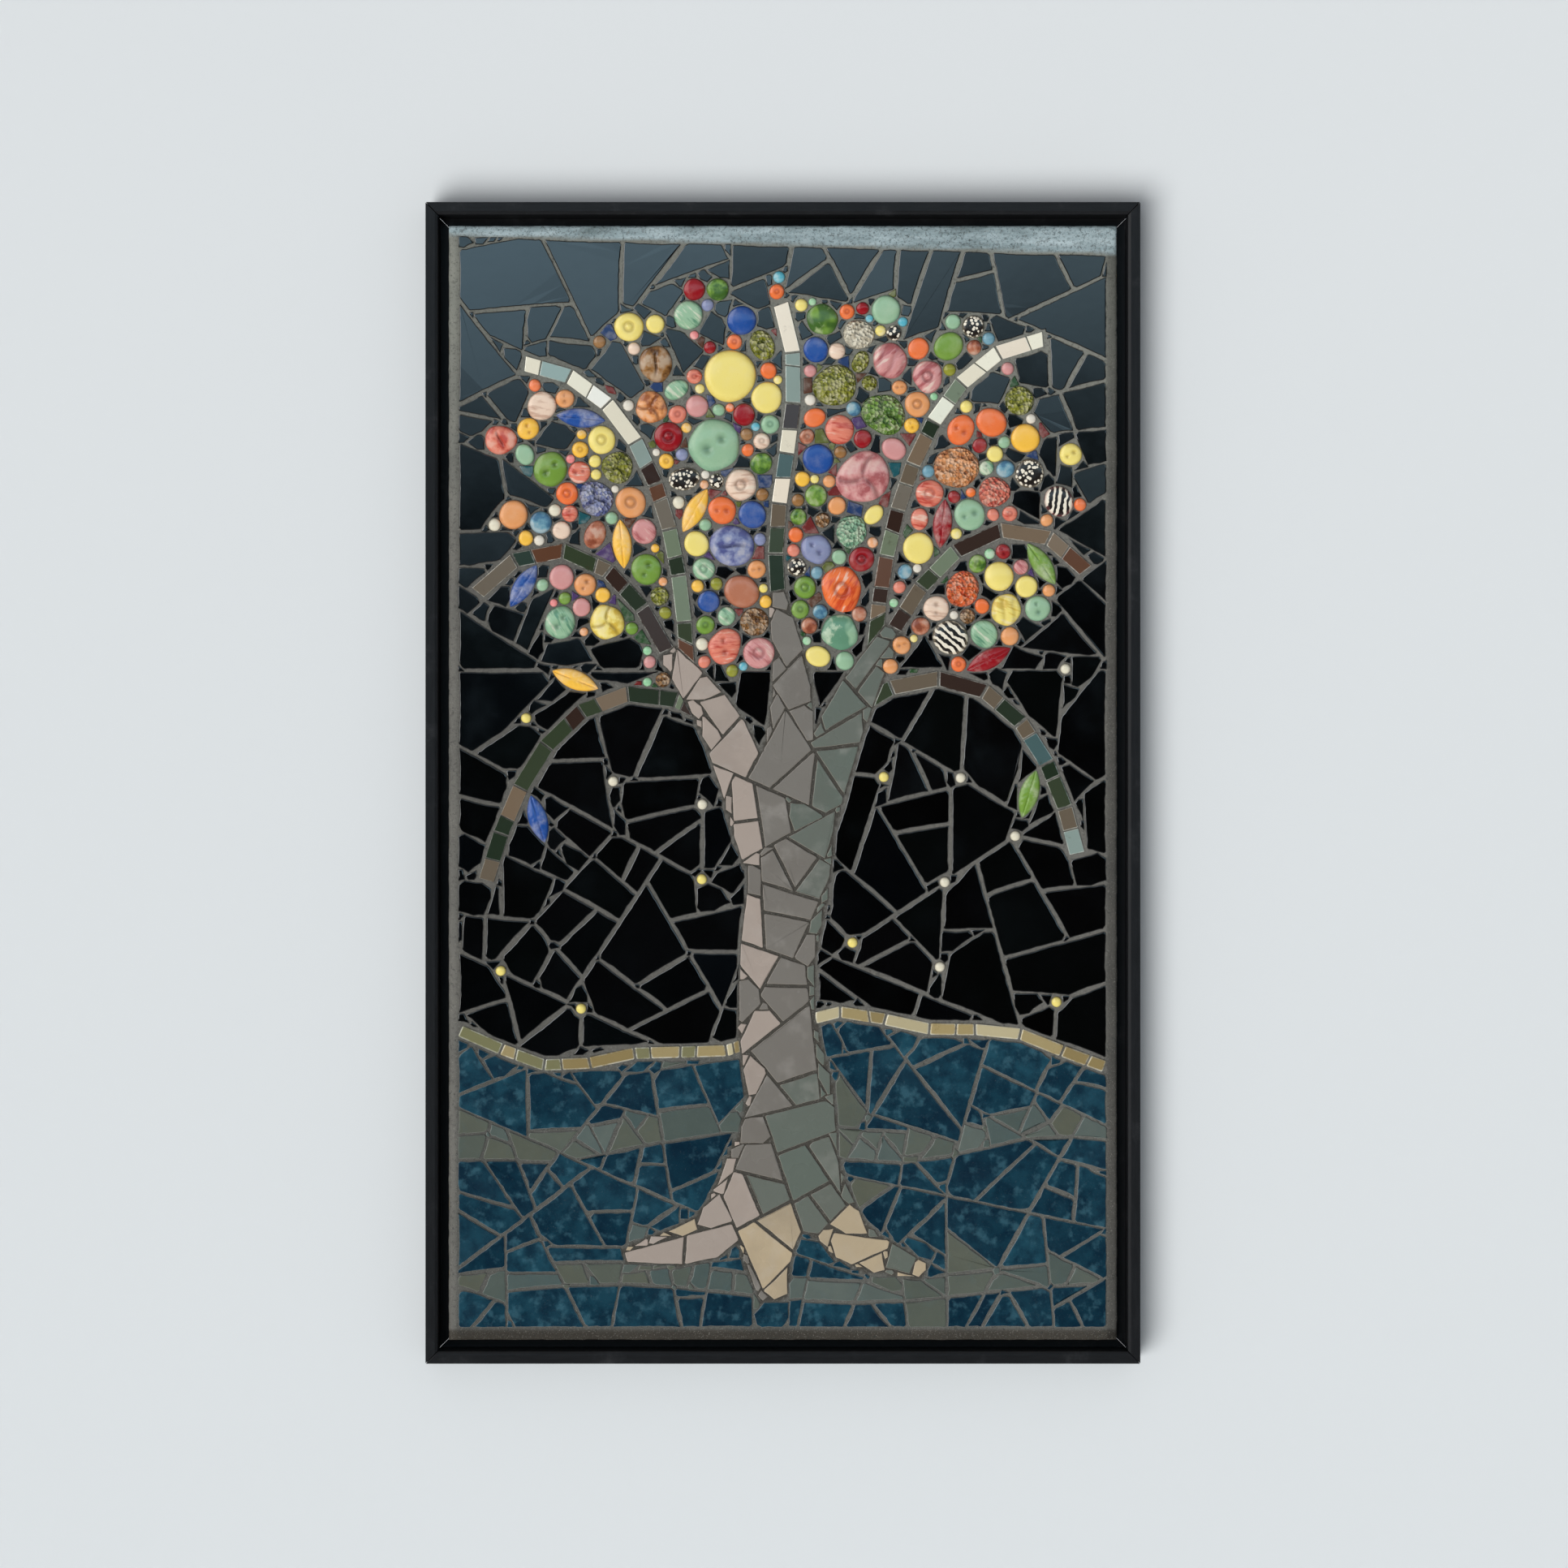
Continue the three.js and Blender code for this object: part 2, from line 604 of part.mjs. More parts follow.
const numbered = (word, i) => word + "_" + String(i + 1).padStart(2, "0");
leaves.forEach(({ at, turn }, i) => {
  const place = { x: at.x, y: at.y, turn };
  add(numbered("leaf", i), prism(leafOutline(0), FOOT, FOOT + LEAF.rise), LEAF_GLAZES[i % LEAF_GLAZES.length], place);
});
rounds
  .filter(({ kind }) => kind === "fruit")
  .forEach((piece, i) => {
    const place = { x: piece.at.x, y: piece.at.y, turn: piece.turn };
    add(numbered("fruit", i), fruit(piece), FRUIT_GLAZES[i % FRUIT_GLAZES.length], place);
  });

// Turned so that up is +Z and the face looks towards -Y, with the middle of the cleat's back at the origin.
panel.rotation.x = Math.PI / 2;
panel.position.z = -CLEAT.above_middle;

const mosaic = new THREE.Group();
mosaic.add(panel);
export default mosaic;
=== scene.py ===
"""A framed mosaic panel: a tree of broken tile with mirror branches and glazed ceramic fruit, on blue ground.

The frame gives every place and size. Outlines of tiles, glass strips, fruit and leaves are read off its
nodes, and each is made again here with its chipped edges, bevels and glaze. Small offcuts and beads fill
what mortar is left.
Everything is in metres, with +Z up, the wall at y = 0 and the face of the panel towards -Y.
"""

import logging
import math
from collections.abc import Callable, Iterator, Sequence
from dataclasses import dataclass, field
from enum import Enum

import bmesh
import bpy
import numpy as np
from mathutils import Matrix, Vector


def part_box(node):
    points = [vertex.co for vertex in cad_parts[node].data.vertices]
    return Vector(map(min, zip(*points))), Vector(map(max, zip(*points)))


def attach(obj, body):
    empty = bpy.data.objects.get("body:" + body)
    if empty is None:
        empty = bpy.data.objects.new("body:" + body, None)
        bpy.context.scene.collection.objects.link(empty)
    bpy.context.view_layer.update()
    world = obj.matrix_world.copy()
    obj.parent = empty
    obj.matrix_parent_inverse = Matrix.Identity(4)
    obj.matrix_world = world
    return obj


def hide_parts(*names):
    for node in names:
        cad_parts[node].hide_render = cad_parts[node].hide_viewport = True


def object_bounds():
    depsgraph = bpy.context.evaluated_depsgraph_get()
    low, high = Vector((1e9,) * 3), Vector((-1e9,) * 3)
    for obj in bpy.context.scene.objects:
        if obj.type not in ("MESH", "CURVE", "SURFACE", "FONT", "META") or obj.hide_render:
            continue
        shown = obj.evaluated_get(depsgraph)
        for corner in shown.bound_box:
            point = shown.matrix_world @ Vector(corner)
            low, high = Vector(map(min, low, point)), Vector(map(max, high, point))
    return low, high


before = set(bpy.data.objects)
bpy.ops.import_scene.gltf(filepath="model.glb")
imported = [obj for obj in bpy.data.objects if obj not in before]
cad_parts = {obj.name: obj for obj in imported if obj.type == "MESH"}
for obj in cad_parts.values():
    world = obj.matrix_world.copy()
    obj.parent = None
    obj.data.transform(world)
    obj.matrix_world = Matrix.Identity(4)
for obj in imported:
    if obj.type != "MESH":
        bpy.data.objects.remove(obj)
CAD_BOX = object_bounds()

LOG = logging.getLogger("mosaic")
MM = 0.001
WELD = 0.01 * MM
LEFT, RIGHT, BOTTOM, TOP = -0.3, 0.3, -0.9, 0.1
MARGIN = {"left": 8 * MM, "right": 9 * MM, "bottom": 11 * MM, "top_left": 9 * MM, "top_right": 26 * MM}

# Depths of the panel's layers. More negative is nearer the viewer.
MORTAR_BACK = -24.3 * MM
TILE_ROOT = -30.5 * MM
GROUT = -32.0 * MM
TILE_FACE = -33.0 * MM
GLASS_FACE = -33.4 * MM

Array = np.ndarray
Chance = np.random.Generator
Colour = tuple[float, float, float, float]
Mesh = bpy.types.Mesh
Socket = bpy.types.NodeSocket


def srgb(red: float, green: float, blue: float) -> Colour:
    """A colour given in display values of 0 to 255, as linear light."""
    display = (value / 255 for value in (red, green, blue))
    return (*(v / 12.92 if v <= 0.04045 else ((v + 0.055) / 1.055) ** 2.4 for v in display), 1.0)


def shades_of(*values: tuple[int, int, int]) -> tuple[Colour, ...]:
    """Several colours given in display values."""
    return tuple(srgb(*value) for value in values)


def blended(first: Sequence[float], second: Sequence[float], share: float) -> Colour:
    """A colour part of the way from one to another."""
    return (*(a + (b - a) * share for a, b in zip(first[:3], second[:3])), 1.0)


# ---- Wiring of shaders ----


class Wiring:
    """Adds nodes to one tree and links them."""

    def __init__(self, tree: bpy.types.NodeTree) -> None:
        """Start on a tree."""
        self.tree = tree

    def feed(self, node: bpy.types.Node, sockets: dict) -> None:
        """Give inputs of a node, by name or place, a value or an output to link."""
        for key, value in sockets.items():
            if isinstance(value, Socket):
                self.tree.links.new(value, node.inputs[key])
            else:
                node.inputs[key].default_value = value

    def add(self, kind: str, sockets: dict | None = None, **settings: object) -> bpy.types.Node:
        """Add a node.

        Args:
            kind: The node's type name.
            sockets: What goes into its inputs, by name or place: a value, or an output to link.
            settings: The node's own properties.

        Returns:
            The new node.
        """
        made = self.tree.nodes.new(kind)
        for name, value in settings.items():
            setattr(made, name, value)
        self.feed(made, sockets or {})
        return made

    def coordinates(self) -> Socket:
        """The place of a point in the object's own space."""
        return self.add("ShaderNodeTexCoord").outputs["Object"]

    def mark(self, name: str, output: str = "Fac") -> Socket:
        """One of the mesh's own attributes."""
        return self.add("ShaderNodeAttribute", attribute_name=name).outputs[output]

    def kept(self, name: str, kind: str = "FLOAT") -> Socket:
        """A number kept on the mesh, in Geometry Nodes."""
        return self.add("GeometryNodeInputNamedAttribute", {0: name}, data_type=kind).outputs[0]

    def sums(self, operation: str, first: object, second: object = 0.0) -> Socket:
        """A sum on one or two numbers."""
        return self.add("ShaderNodeMath", {0: first, 1: second}, operation=operation).outputs[0]

    def times(self, first: object, second: object) -> Socket:
        """One number times another."""
        return self.sums("MULTIPLY", first, second)

    def plus(self, first: object, second: object) -> Socket:
        """One number and another."""
        return self.sums("ADD", first, second)

    def minus(self, first: object, second: object) -> Socket:
        """One number less another."""
        return self.sums("SUBTRACT", first, second)

    def more(self, base: object, mask: object, amount: float) -> Socket:
        """A number that a mask raises by an amount."""
        return self.plus(base, self.times(mask, amount))

    def axis(self, vector: object, axis: int) -> Socket:
        """One coordinate of a vector."""
        return self.add("ShaderNodeSeparateXYZ", {0: vector}).outputs[axis]

    def vector(self, x: object, y: object, z: object) -> Socket:
        """A vector of three numbers."""
        return self.add("ShaderNodeCombineXYZ", {0: x, 1: y, 2: z}).outputs[0]

    def turned(self, vector: object, turn: float, stretch: tuple[float, float, float] = (1, 1, 1)) -> Socket:
        """Coordinates turned about the viewing axis and then stretched."""
        turned = self.add("ShaderNodeMapping", {"Vector": vector, "Rotation": (0, turn, 0)})
        return self.add("ShaderNodeMapping", {"Vector": turned.outputs[0], "Scale": stretch}).outputs[0]

    def noise(self, vector: object, scale: object, detail: float, rough: float) -> Socket:
        """Smooth noise around 0.5."""
        sockets = {"Vector": vector, "Scale": scale, "Detail": detail, "Roughness": rough}
        return self.add("ShaderNodeTexNoise", sockets).outputs["Fac"]

    def cells(self, vector: object, scale: float) -> bpy.types.Node:
        """Voronoi cells."""
        return self.add("ShaderNodeTexVoronoi", {"Vector": vector, "Scale": scale}, feature="F1")

    def step(self, value: object, low: float, high: float) -> Socket:
        """A smooth step from 0 below one value to 1 above another."""
        sockets = {0: value, 1: low, 2: high}
        return self.add("ShaderNodeMapRange", sockets, interpolation_type="SMOOTHSTEP").outputs[0]

    def mix(self, share: object, first: object, second: object, blend: str = "MIX") -> Socket:
        """A mix of two colours."""
        sockets = {0: share, 6: first, 7: second}
        return self.add("ShaderNodeMix", sockets, data_type="RGBA", blend_type=blend).outputs[2]

    def over(self, under: object, colour: object, mask: object, share: object) -> Socket:
        """A colour laid on another, as strongly as a mask times a share."""
        return self.mix(self.times(mask, share), under, colour)

    def ramp(self, share: object, *stops: tuple[float, Colour]) -> Socket:
        """A colour ramp with a stop for each place and colour."""
        made = self.add("ShaderNodeValToRGB", {0: share})
        elements = made.color_ramp.elements
        elements.remove(elements[-1])
        elements[0].position, elements[0].color = stops[0]
        for place, colour in stops[1:]:
            elements.new(place).color = colour
        return made.outputs[0]

    def bump(self, height: object, distance: float) -> Socket:
        """A normal from a height, with its full rise in metres."""
        sockets = {"Height": height, "Distance": distance, "Strength": 1.0}
        return self.add("ShaderNodeBump", sockets).outputs[0]


@dataclass(frozen=True)
class Effect:
    """A surface effect that several finishes share, as a node group built once.

    Attributes:
        name: The group's name.
        takes: Its inputs by name. Those in VECTORS are vectors, and the others are numbers.
        gives: Its outputs, in the same way.
        wire: Makes the inside from its wiring and the group's inputs, and returns what goes to each output.
    """

    name: str
    takes: tuple[str, ...]
    gives: tuple[str, ...]
    wire: Callable[..., dict[str, Socket]]

    def tree(self) -> bpy.types.NodeTree:
        """The node group, made on first use."""
        made = bpy.data.node_groups.get(self.name)
        if made:
            return made
        made = bpy.data.node_groups.new(self.name, "ShaderNodeTree")
        for names, way in ((self.takes, "INPUT"), (self.gives, "OUTPUT")):
            for name in names:
                kind = "NodeSocketVector" if name in VECTORS else "NodeSocketFloat"
                made.interface.new_socket(name, in_out=way, socket_type=kind)
        wires = Wiring(made)
        inputs = wires.add("NodeGroupInput").outputs
        wires.add("NodeGroupOutput", self.wire(wires, *(inputs[name] for name in self.takes)))
        return made

    def place(self, wires: Wiring, **inputs: object) -> dict[str, Socket]:
        """Put the group into a material.

        Args:
            wires: The material's wiring.
            inputs: A value or a socket for each of the group's inputs.

        Returns:
            The group's outputs by name.
        """
        made = wires.add("ShaderNodeGroup", inputs, node_tree=self.tree())
        return {name: made.outputs[name] for name in self.gives}


VECTORS = ("vector", "place")


def wire_grit(wires: Wiring, vector: Socket, amount: Socket) -> dict[str, Socket]:
    """Sand grains and trowel clouds: a mask of dark grains, soft clouds, and a height."""
    fine = wires.noise(vector, 1400, 2, 0.6)
    coarse = wires.noise(vector, 420, 3, 0.65)
    clouds = wires.noise(vector, 24, 4, 0.6)
    grains = wires.times(wires.step(coarse, 0.52, 0.66), amount)
    return {"grains": grains, "clouds": clouds, "height": wires.more(coarse, fine, 0.35)}


GRIT = Effect("sand_grit", ("vector", "amount"), ("grains", "clouds", "height"), wire_grit)


def wire_mottle(wires: Wiring, vector: Socket, cut: Socket, scale: Socket) -> dict[str, Socket]:
    """Clouds that change from tile to tile, because each is cut from another part of its sheet."""
    shift = wires.vector(cut, cut, cut)
    place = wires.add("ShaderNodeVectorMath", {0: vector, 1: shift}, operation="ADD").outputs[0]
    return {"cloud": wires.step(wires.noise(place, scale, 4.0, 0.62), 0.3, 0.7), "place": place}


MOTTLE = Effect("sheet_mottle", ("vector", "cut", "scale"), ("cloud", "place"), wire_mottle)


def wire_rim(wires: Wiring, vector: Socket, rim: Socket, amount: Socket) -> dict[str, Socket]:
    """Where glaze runs thin over an edge: a broken mask towards the rim, and the glaze's slow ripple."""
    wander = wires.minus(wires.noise(vector, 260, 3, 0.6), 0.5)
    thin = wires.times(wires.step(wires.more(rim, wander, 0.5), 0.62, 1.02), amount)
    return {"thin": thin, "ripple": wires.noise(vector, 150, 2, 0.5)}


RIM = Effect("thin_rim", ("vector", "rim", "amount"), ("thin", "ripple"), wire_rim)


# ---- Finishes ----


def wired_material(name: str, wire: Callable[[Wiring], Socket]) -> bpy.types.Material:
    """A material by its name, made on first use.

    Args:
        name: Its name.
        wire: Adds its nodes, and returns its surface.

    Returns:
        The material.
    """
    made = bpy.data.materials.get(name)
    if not made:
        made = bpy.data.materials.new(name)
        made.use_nodes = True
        made.node_tree.nodes.clear()
        wires = Wiring(made.node_tree)
        wires.add("ShaderNodeOutputMaterial", {"Surface": wire(wires)})
    return made


@dataclass(frozen=True)
class Finish:
    """A procedural finish. Each kind paints its own surface."""

    name: str

    def material(self) -> bpy.types.Material:
        """The finish's material."""
        return wired_material(self.name, self.surface)

    def surface(self, wires: Wiring) -> Socket:
        """The finish's shader, with all that feeds it."""
        shader = wires.add("ShaderNodeBsdfPrincipled")
        wires.feed(shader, self.paint(wires, wires.coordinates()))
        return shader.outputs[0]

    def paint(self, wires: Wiring, place: Socket) -> dict[str, object]:
        """What goes into each of the shader's inputs, from a point's place in the object's own space."""
        raise NotImplementedError


@dataclass(frozen=True)
class SatinPaint(Finish):
    """Black satin paint on wood, with a trace of grain along the rail."""

    along: str = "X"
    colour: Colour = srgb(33, 34, 36)
    dusty: Colour = srgb(54, 55, 57)

    def paint(self, wires: Wiring, place: Socket) -> dict[str, object]:
        """Paint with faint grain, dust and sheen."""
        stretch = (6, 60, 60) if self.along == "X" else (60, 60, 6)
        grain = wires.noise(wires.turned(place, 0, stretch), 8, 4, 0.6)
        dust = wires.noise(place, 35, 5, 0.65)
        darker = blended(self.colour, srgb(0, 0, 0), 0.25)
        colour = wires.mix(wires.step(grain, 0.3, 0.75), darker, self.colour)
        fine = wires.noise(place, 1600, 2, 0.5)
        return {
            "Base Color": wires.mix(wires.step(dust, 0.55, 0.85), colour, self.dusty),
            "Roughness": wires.more(0.28, dust, 0.16),
            "Specular IOR Level": 0.18,
            "Normal": wires.bump(wires.more(grain, fine, 0.25), 0.05 * MM),
        }


@dataclass(frozen=True)
class Wood(Finish):
    """Bare wood with growth bands along one axis. The mark named painted is 1 where black paint covers it."""

    light: Colour = srgb(214, 180, 132)
    dark: Colour = srgb(176, 134, 86)
    along: str = "X"
    bands: float = 150

    def paint(self, wires: Wiring, place: Socket) -> dict[str, object]:
        """Bands, pores and a dull sheen, on coordinates drawn out with the grain."""

        def drawn_out(along: float, across: float) -> Socket:
            """Coordinates for a pattern that is longer with the grain than across it."""
            stretch = (along, across, across) if self.along == "X" else (across, across, along)
            return wires.turned(place, 0, stretch)

        bend = wires.noise(drawn_out(0.14, 1), 5, 2, 0.45)
        rings = wires.sums("SINE", wires.times(bend, self.bands))
        pores = wires.noise(drawn_out(40, 500), 1, 3, 0.7)
        tone = wires.noise(drawn_out(0.3, 1), 6, 3, 0.5)
        colour = wires.over(self.light, self.dark, wires.step(rings, -1.0, 1.0), 0.5)
        colour = wires.over(colour, self.dark, wires.step(tone, 0.35, 0.7), 0.3)
        colour = wires.mix(wires.step(pores, 0.58, 0.8), colour, blended(self.dark, srgb(60, 38, 20), 0.5))
        return {
            "Base Color": wires.mix(wires.mark("painted"), colour, srgb(18, 18, 19)),
            "Roughness": wires.more(0.55, pores, 0.25),
            "Normal": wires.bump(pores, 0.12 * MM),
        }


@dataclass(frozen=True)
class Zinc(Finish):
    """Zinc-plated steel of the screws."""

    def paint(self, wires: Wiring, place: Socket) -> dict[str, object]:
        """Dull metal with stains."""
        stain = wires.noise(place, 500, 4, 0.65)
        colour = wires.ramp(stain, (0.3, srgb(120, 118, 112)), (0.65, srgb(186, 188, 190)))
        return {"Base Color": colour, "Metallic": 1.0, "Roughness": wires.more(0.28, stain, 0.25)}


@dataclass(frozen=True)
class Mortar(Finish):
    """Sanded grey grout, toned by the mark named shade. The one named ledge is 1 on the rim's pale crust."""

    def paint(self, wires: Wiring, place: Socket) -> dict[str, object]:
        """Grout with sand grains, clouds, stains, and pale lime on the rim with painted shade in its pits."""
        grit = GRIT.place(wires, vector=place, amount=0.75)
        colour = wires.mix(grit["clouds"], srgb(106, 106, 103), srgb(140, 138, 132))
        colour = wires.mix(1.0, colour, wires.mark("shade", "Color"), "MULTIPLY")
        crust = wires.noise(wires.turned(place, 0, (0.25, 1, 1)), 60, 5, 0.7)
        tones = shades_of((104, 119, 121), (150, 168, 173), (186, 203, 208))
        pale = wires.ramp(crust, *zip((0.32, 0.5, 0.7), tones))
        # Dark flecks on the rim's crust: painted shade of small pits that the mesh doesn't have.
        pits = wires.step(wires.noise(place, 380, 4, 0.75), 0.54, 0.62)
        colour = wires.mix(wires.mark("ledge"), colour, wires.over(pale, srgb(58, 70, 72), pits, 0.62))
        stains = wires.step(wires.noise(place, 260, 3, 0.7), 0.6, 0.7)
        colour = wires.over(colour, srgb(44, 50, 50), stains, 0.55)
        colour = wires.over(colour, srgb(66, 65, 62), grit["grains"], 0.55)
        sand = wires.step(wires.noise(place, 900, 2, 0.7), 0.58, 0.7)
        return {
            "Base Color": wires.over(colour, srgb(168, 166, 158), sand, 0.35),
            "Roughness": wires.more(0.78, grit["clouds"], 0.15),
            "Specular IOR Level": 0.3,
            "Normal": wires.bump(grit["height"], 0.25 * MM),
        }


@dataclass(frozen=True)
class CutTile(Finish):
    """Glazed tile cut from sheets.

    The mark named shade is each tile's colour, cut shifts its clouds, lively is 0 where it has none, and
    rim is 1 on the broken edge.
    """

    cloud: Colour = srgb(0, 0, 0)
    cloudiness: float = 0.1
    cloud_scale: float = 30
    bloom: Colour = srgb(120, 120, 120)
    pale_cloud_and_sheen: float = 0.0
    body: Colour = srgb(120, 112, 104)
    flecks: float = 0.1
    rough: float = 0.12
    rough_range: float = 0.1
    wave: float = 0.02 * MM
    density: float = 1.5

    def paint(self, wires: Wiring, place: Socket) -> dict[str, object]:
        """Clouded glaze, a thin bright rim where the body shows, and slightly uneven gloss."""
        mottle = MOTTLE.place(wires, vector=place, cut=wires.mark("cut"), scale=self.cloud_scale)
        own, lively = mottle["place"], wires.mark("lively")
        dark = wires.times(mottle["cloud"], self.cloudiness)
        colour = wires.over(wires.mark("shade", "Color"), self.cloud, dark, lively)
        # Pale clouds: real glaze on the blue tiles, and a painted sheen standing for soft gloss highlights on
        # the bark tiles.
        pale = wires.step(wires.noise(own, self.cloud_scale * 1.6, 3, 0.55), 0.5, 0.72)
        colour = wires.over(colour, self.bloom, wires.times(pale, self.pale_cloud_and_sheen), lively)
        fleck = wires.step(wires.noise(own, 700, 3, 0.7), 0.6, 0.75)
        colour = wires.over(colour, self.body, fleck, self.flecks)
        rim = RIM.place(wires, vector=place, rim=wires.mark("rim"), amount=0.7)
        uneven = wires.step(wires.noise(own, 18, 3, 0.6), 0.35, 0.75)
        swell = wires.noise(place, 45, 2, 0.5)
        return {
            "Base Color": wires.mix(rim["thin"], colour, self.body),
            "Roughness": wires.more(wires.more(self.rough, uneven, self.rough_range), rim["thin"], 0.4),
            "IOR": self.density,
            "Normal": wires.bump(wires.more(swell, rim["ripple"], 0.15), self.wave),
        }


@dataclass(frozen=True)
class StripGlass(Finish):
    """Silvered or gilded glass. The mark named shade tints each strip, with a painted reflection on mirrors.
    """

    aged: Colour = srgb(70, 60, 44)
    rough: float = 0.04
    silvered: float = 0.14

    def paint(self, wires: Wiring, place: Socket) -> dict[str, object]:
        """A metal reflection with tint, faint foxing and scuffs, and pale cut edges with a painted highlight.
        """
        foxing = wires.noise(place, 90, 5, 0.75)
        colour = wires.mix(wires.step(foxing, 0.58, 0.85), wires.mark("shade", "Color"), self.aged)
        # Faces turned away from the front are painted near white: frosted cut glass, brightened as a painted
        # highlight.
        facing = wires.axis(wires.add("ShaderNodeNewGeometry").outputs["True Normal"], 1)
        cut = wires.step(wires.sums("ABSOLUTE", facing), 0.97, 0.85)
        cut = wires.times(cut, wires.step(foxing, 0.62, 0.4))
        bloom = wires.step(wires.noise(place, 28, 3, 0.6), 0.45, 0.8)
        return {
            "Base Color": wires.over(colour, srgb(238, 240, 230), cut, 0.85),
            "Metallic": self.silvered,
            "Roughness": wires.more(self.rough, bloom, 0.14),
            "Coat Weight": 0.5,
            "Normal": wires.bump(wires.noise(place, 38, 2, 0.5), 0.05 * MM),
        }


class Glaze(Enum):
    """The potter's glazes."""

    ROSE = ("rose_glaze", srgb(212, 150, 148), srgb(172, 96, 98))
    MINT = ("mint_glaze", srgb(152, 190, 156), srgb(98, 146, 118))
    LEMON = ("lemon_glaze", srgb(244, 226, 128), srgb(216, 184, 72))
    YELLOW = ("yellow_glaze", srgb(250, 196, 74), srgb(222, 150, 40))
    LEAF_GREEN = ("leaf_green_glaze", srgb(118, 156, 62), srgb(66, 102, 42))
    APRICOT = ("apricot_glaze", srgb(232, 160, 102), srgb(160, 92, 50))
    LAVENDER = ("lavender_glaze", srgb(136, 144, 180), srgb(84, 90, 142))
    ORANGE = ("orange_glaze", srgb(240, 120, 62), srgb(206, 76, 38))
    LIME = ("lime_glaze", srgb(146, 148, 50), srgb(88, 94, 26))
    CREAM = ("cream_glaze", srgb(230, 224, 202), srgb(180, 166, 140))
    CORAL = ("coral_glaze", srgb(226, 134, 112), srgb(192, 78, 64))
    COBALT = ("cobalt_glaze", srgb(36, 80, 156), srgb(14, 38, 100))
    CRIMSON = ("crimson_glaze", srgb(152, 20, 30), srgb(92, 8, 20))
    SKY = ("cobalt_glaze", srgb(114, 160, 178), srgb(66, 110, 140))
    BRICK = ("apricot_glaze", srgb(184, 118, 90), srgb(136, 72, 50))
    PEACH = ("cream_glaze", srgb(238, 212, 190), srgb(202, 168, 146))
    BRONZE = ("lime_glaze", srgb(152, 108, 60), srgb(84, 52, 26))

    def __init__(self, slot: str, thick: Colour, thin: Colour) -> None:
        """Keep the record's slot, the colour where the glaze lies thick, and the one where it breaks."""
        self.slot, self.thick, self.thin = slot, thick, thin


class Pattern(Enum):
    """The ways in which a glaze is laid on."""

    PLAIN = "plain"
    POOLED = "pooled"
    STREAKED = "streaked"
    CLOUDED = "clouded"
    CRUSTED = "crusted"
    SPECKLED = "speckled"
    BANDED = "banded"

    @property
    def paleness(self) -> float:
        """How far the third colour goes from the glaze's own to cream."""
        return {"speckled": 1.0, "banded": 1.0, "streaked": 0.5, "crusted": 0.3}.get(self.value, 0.26)


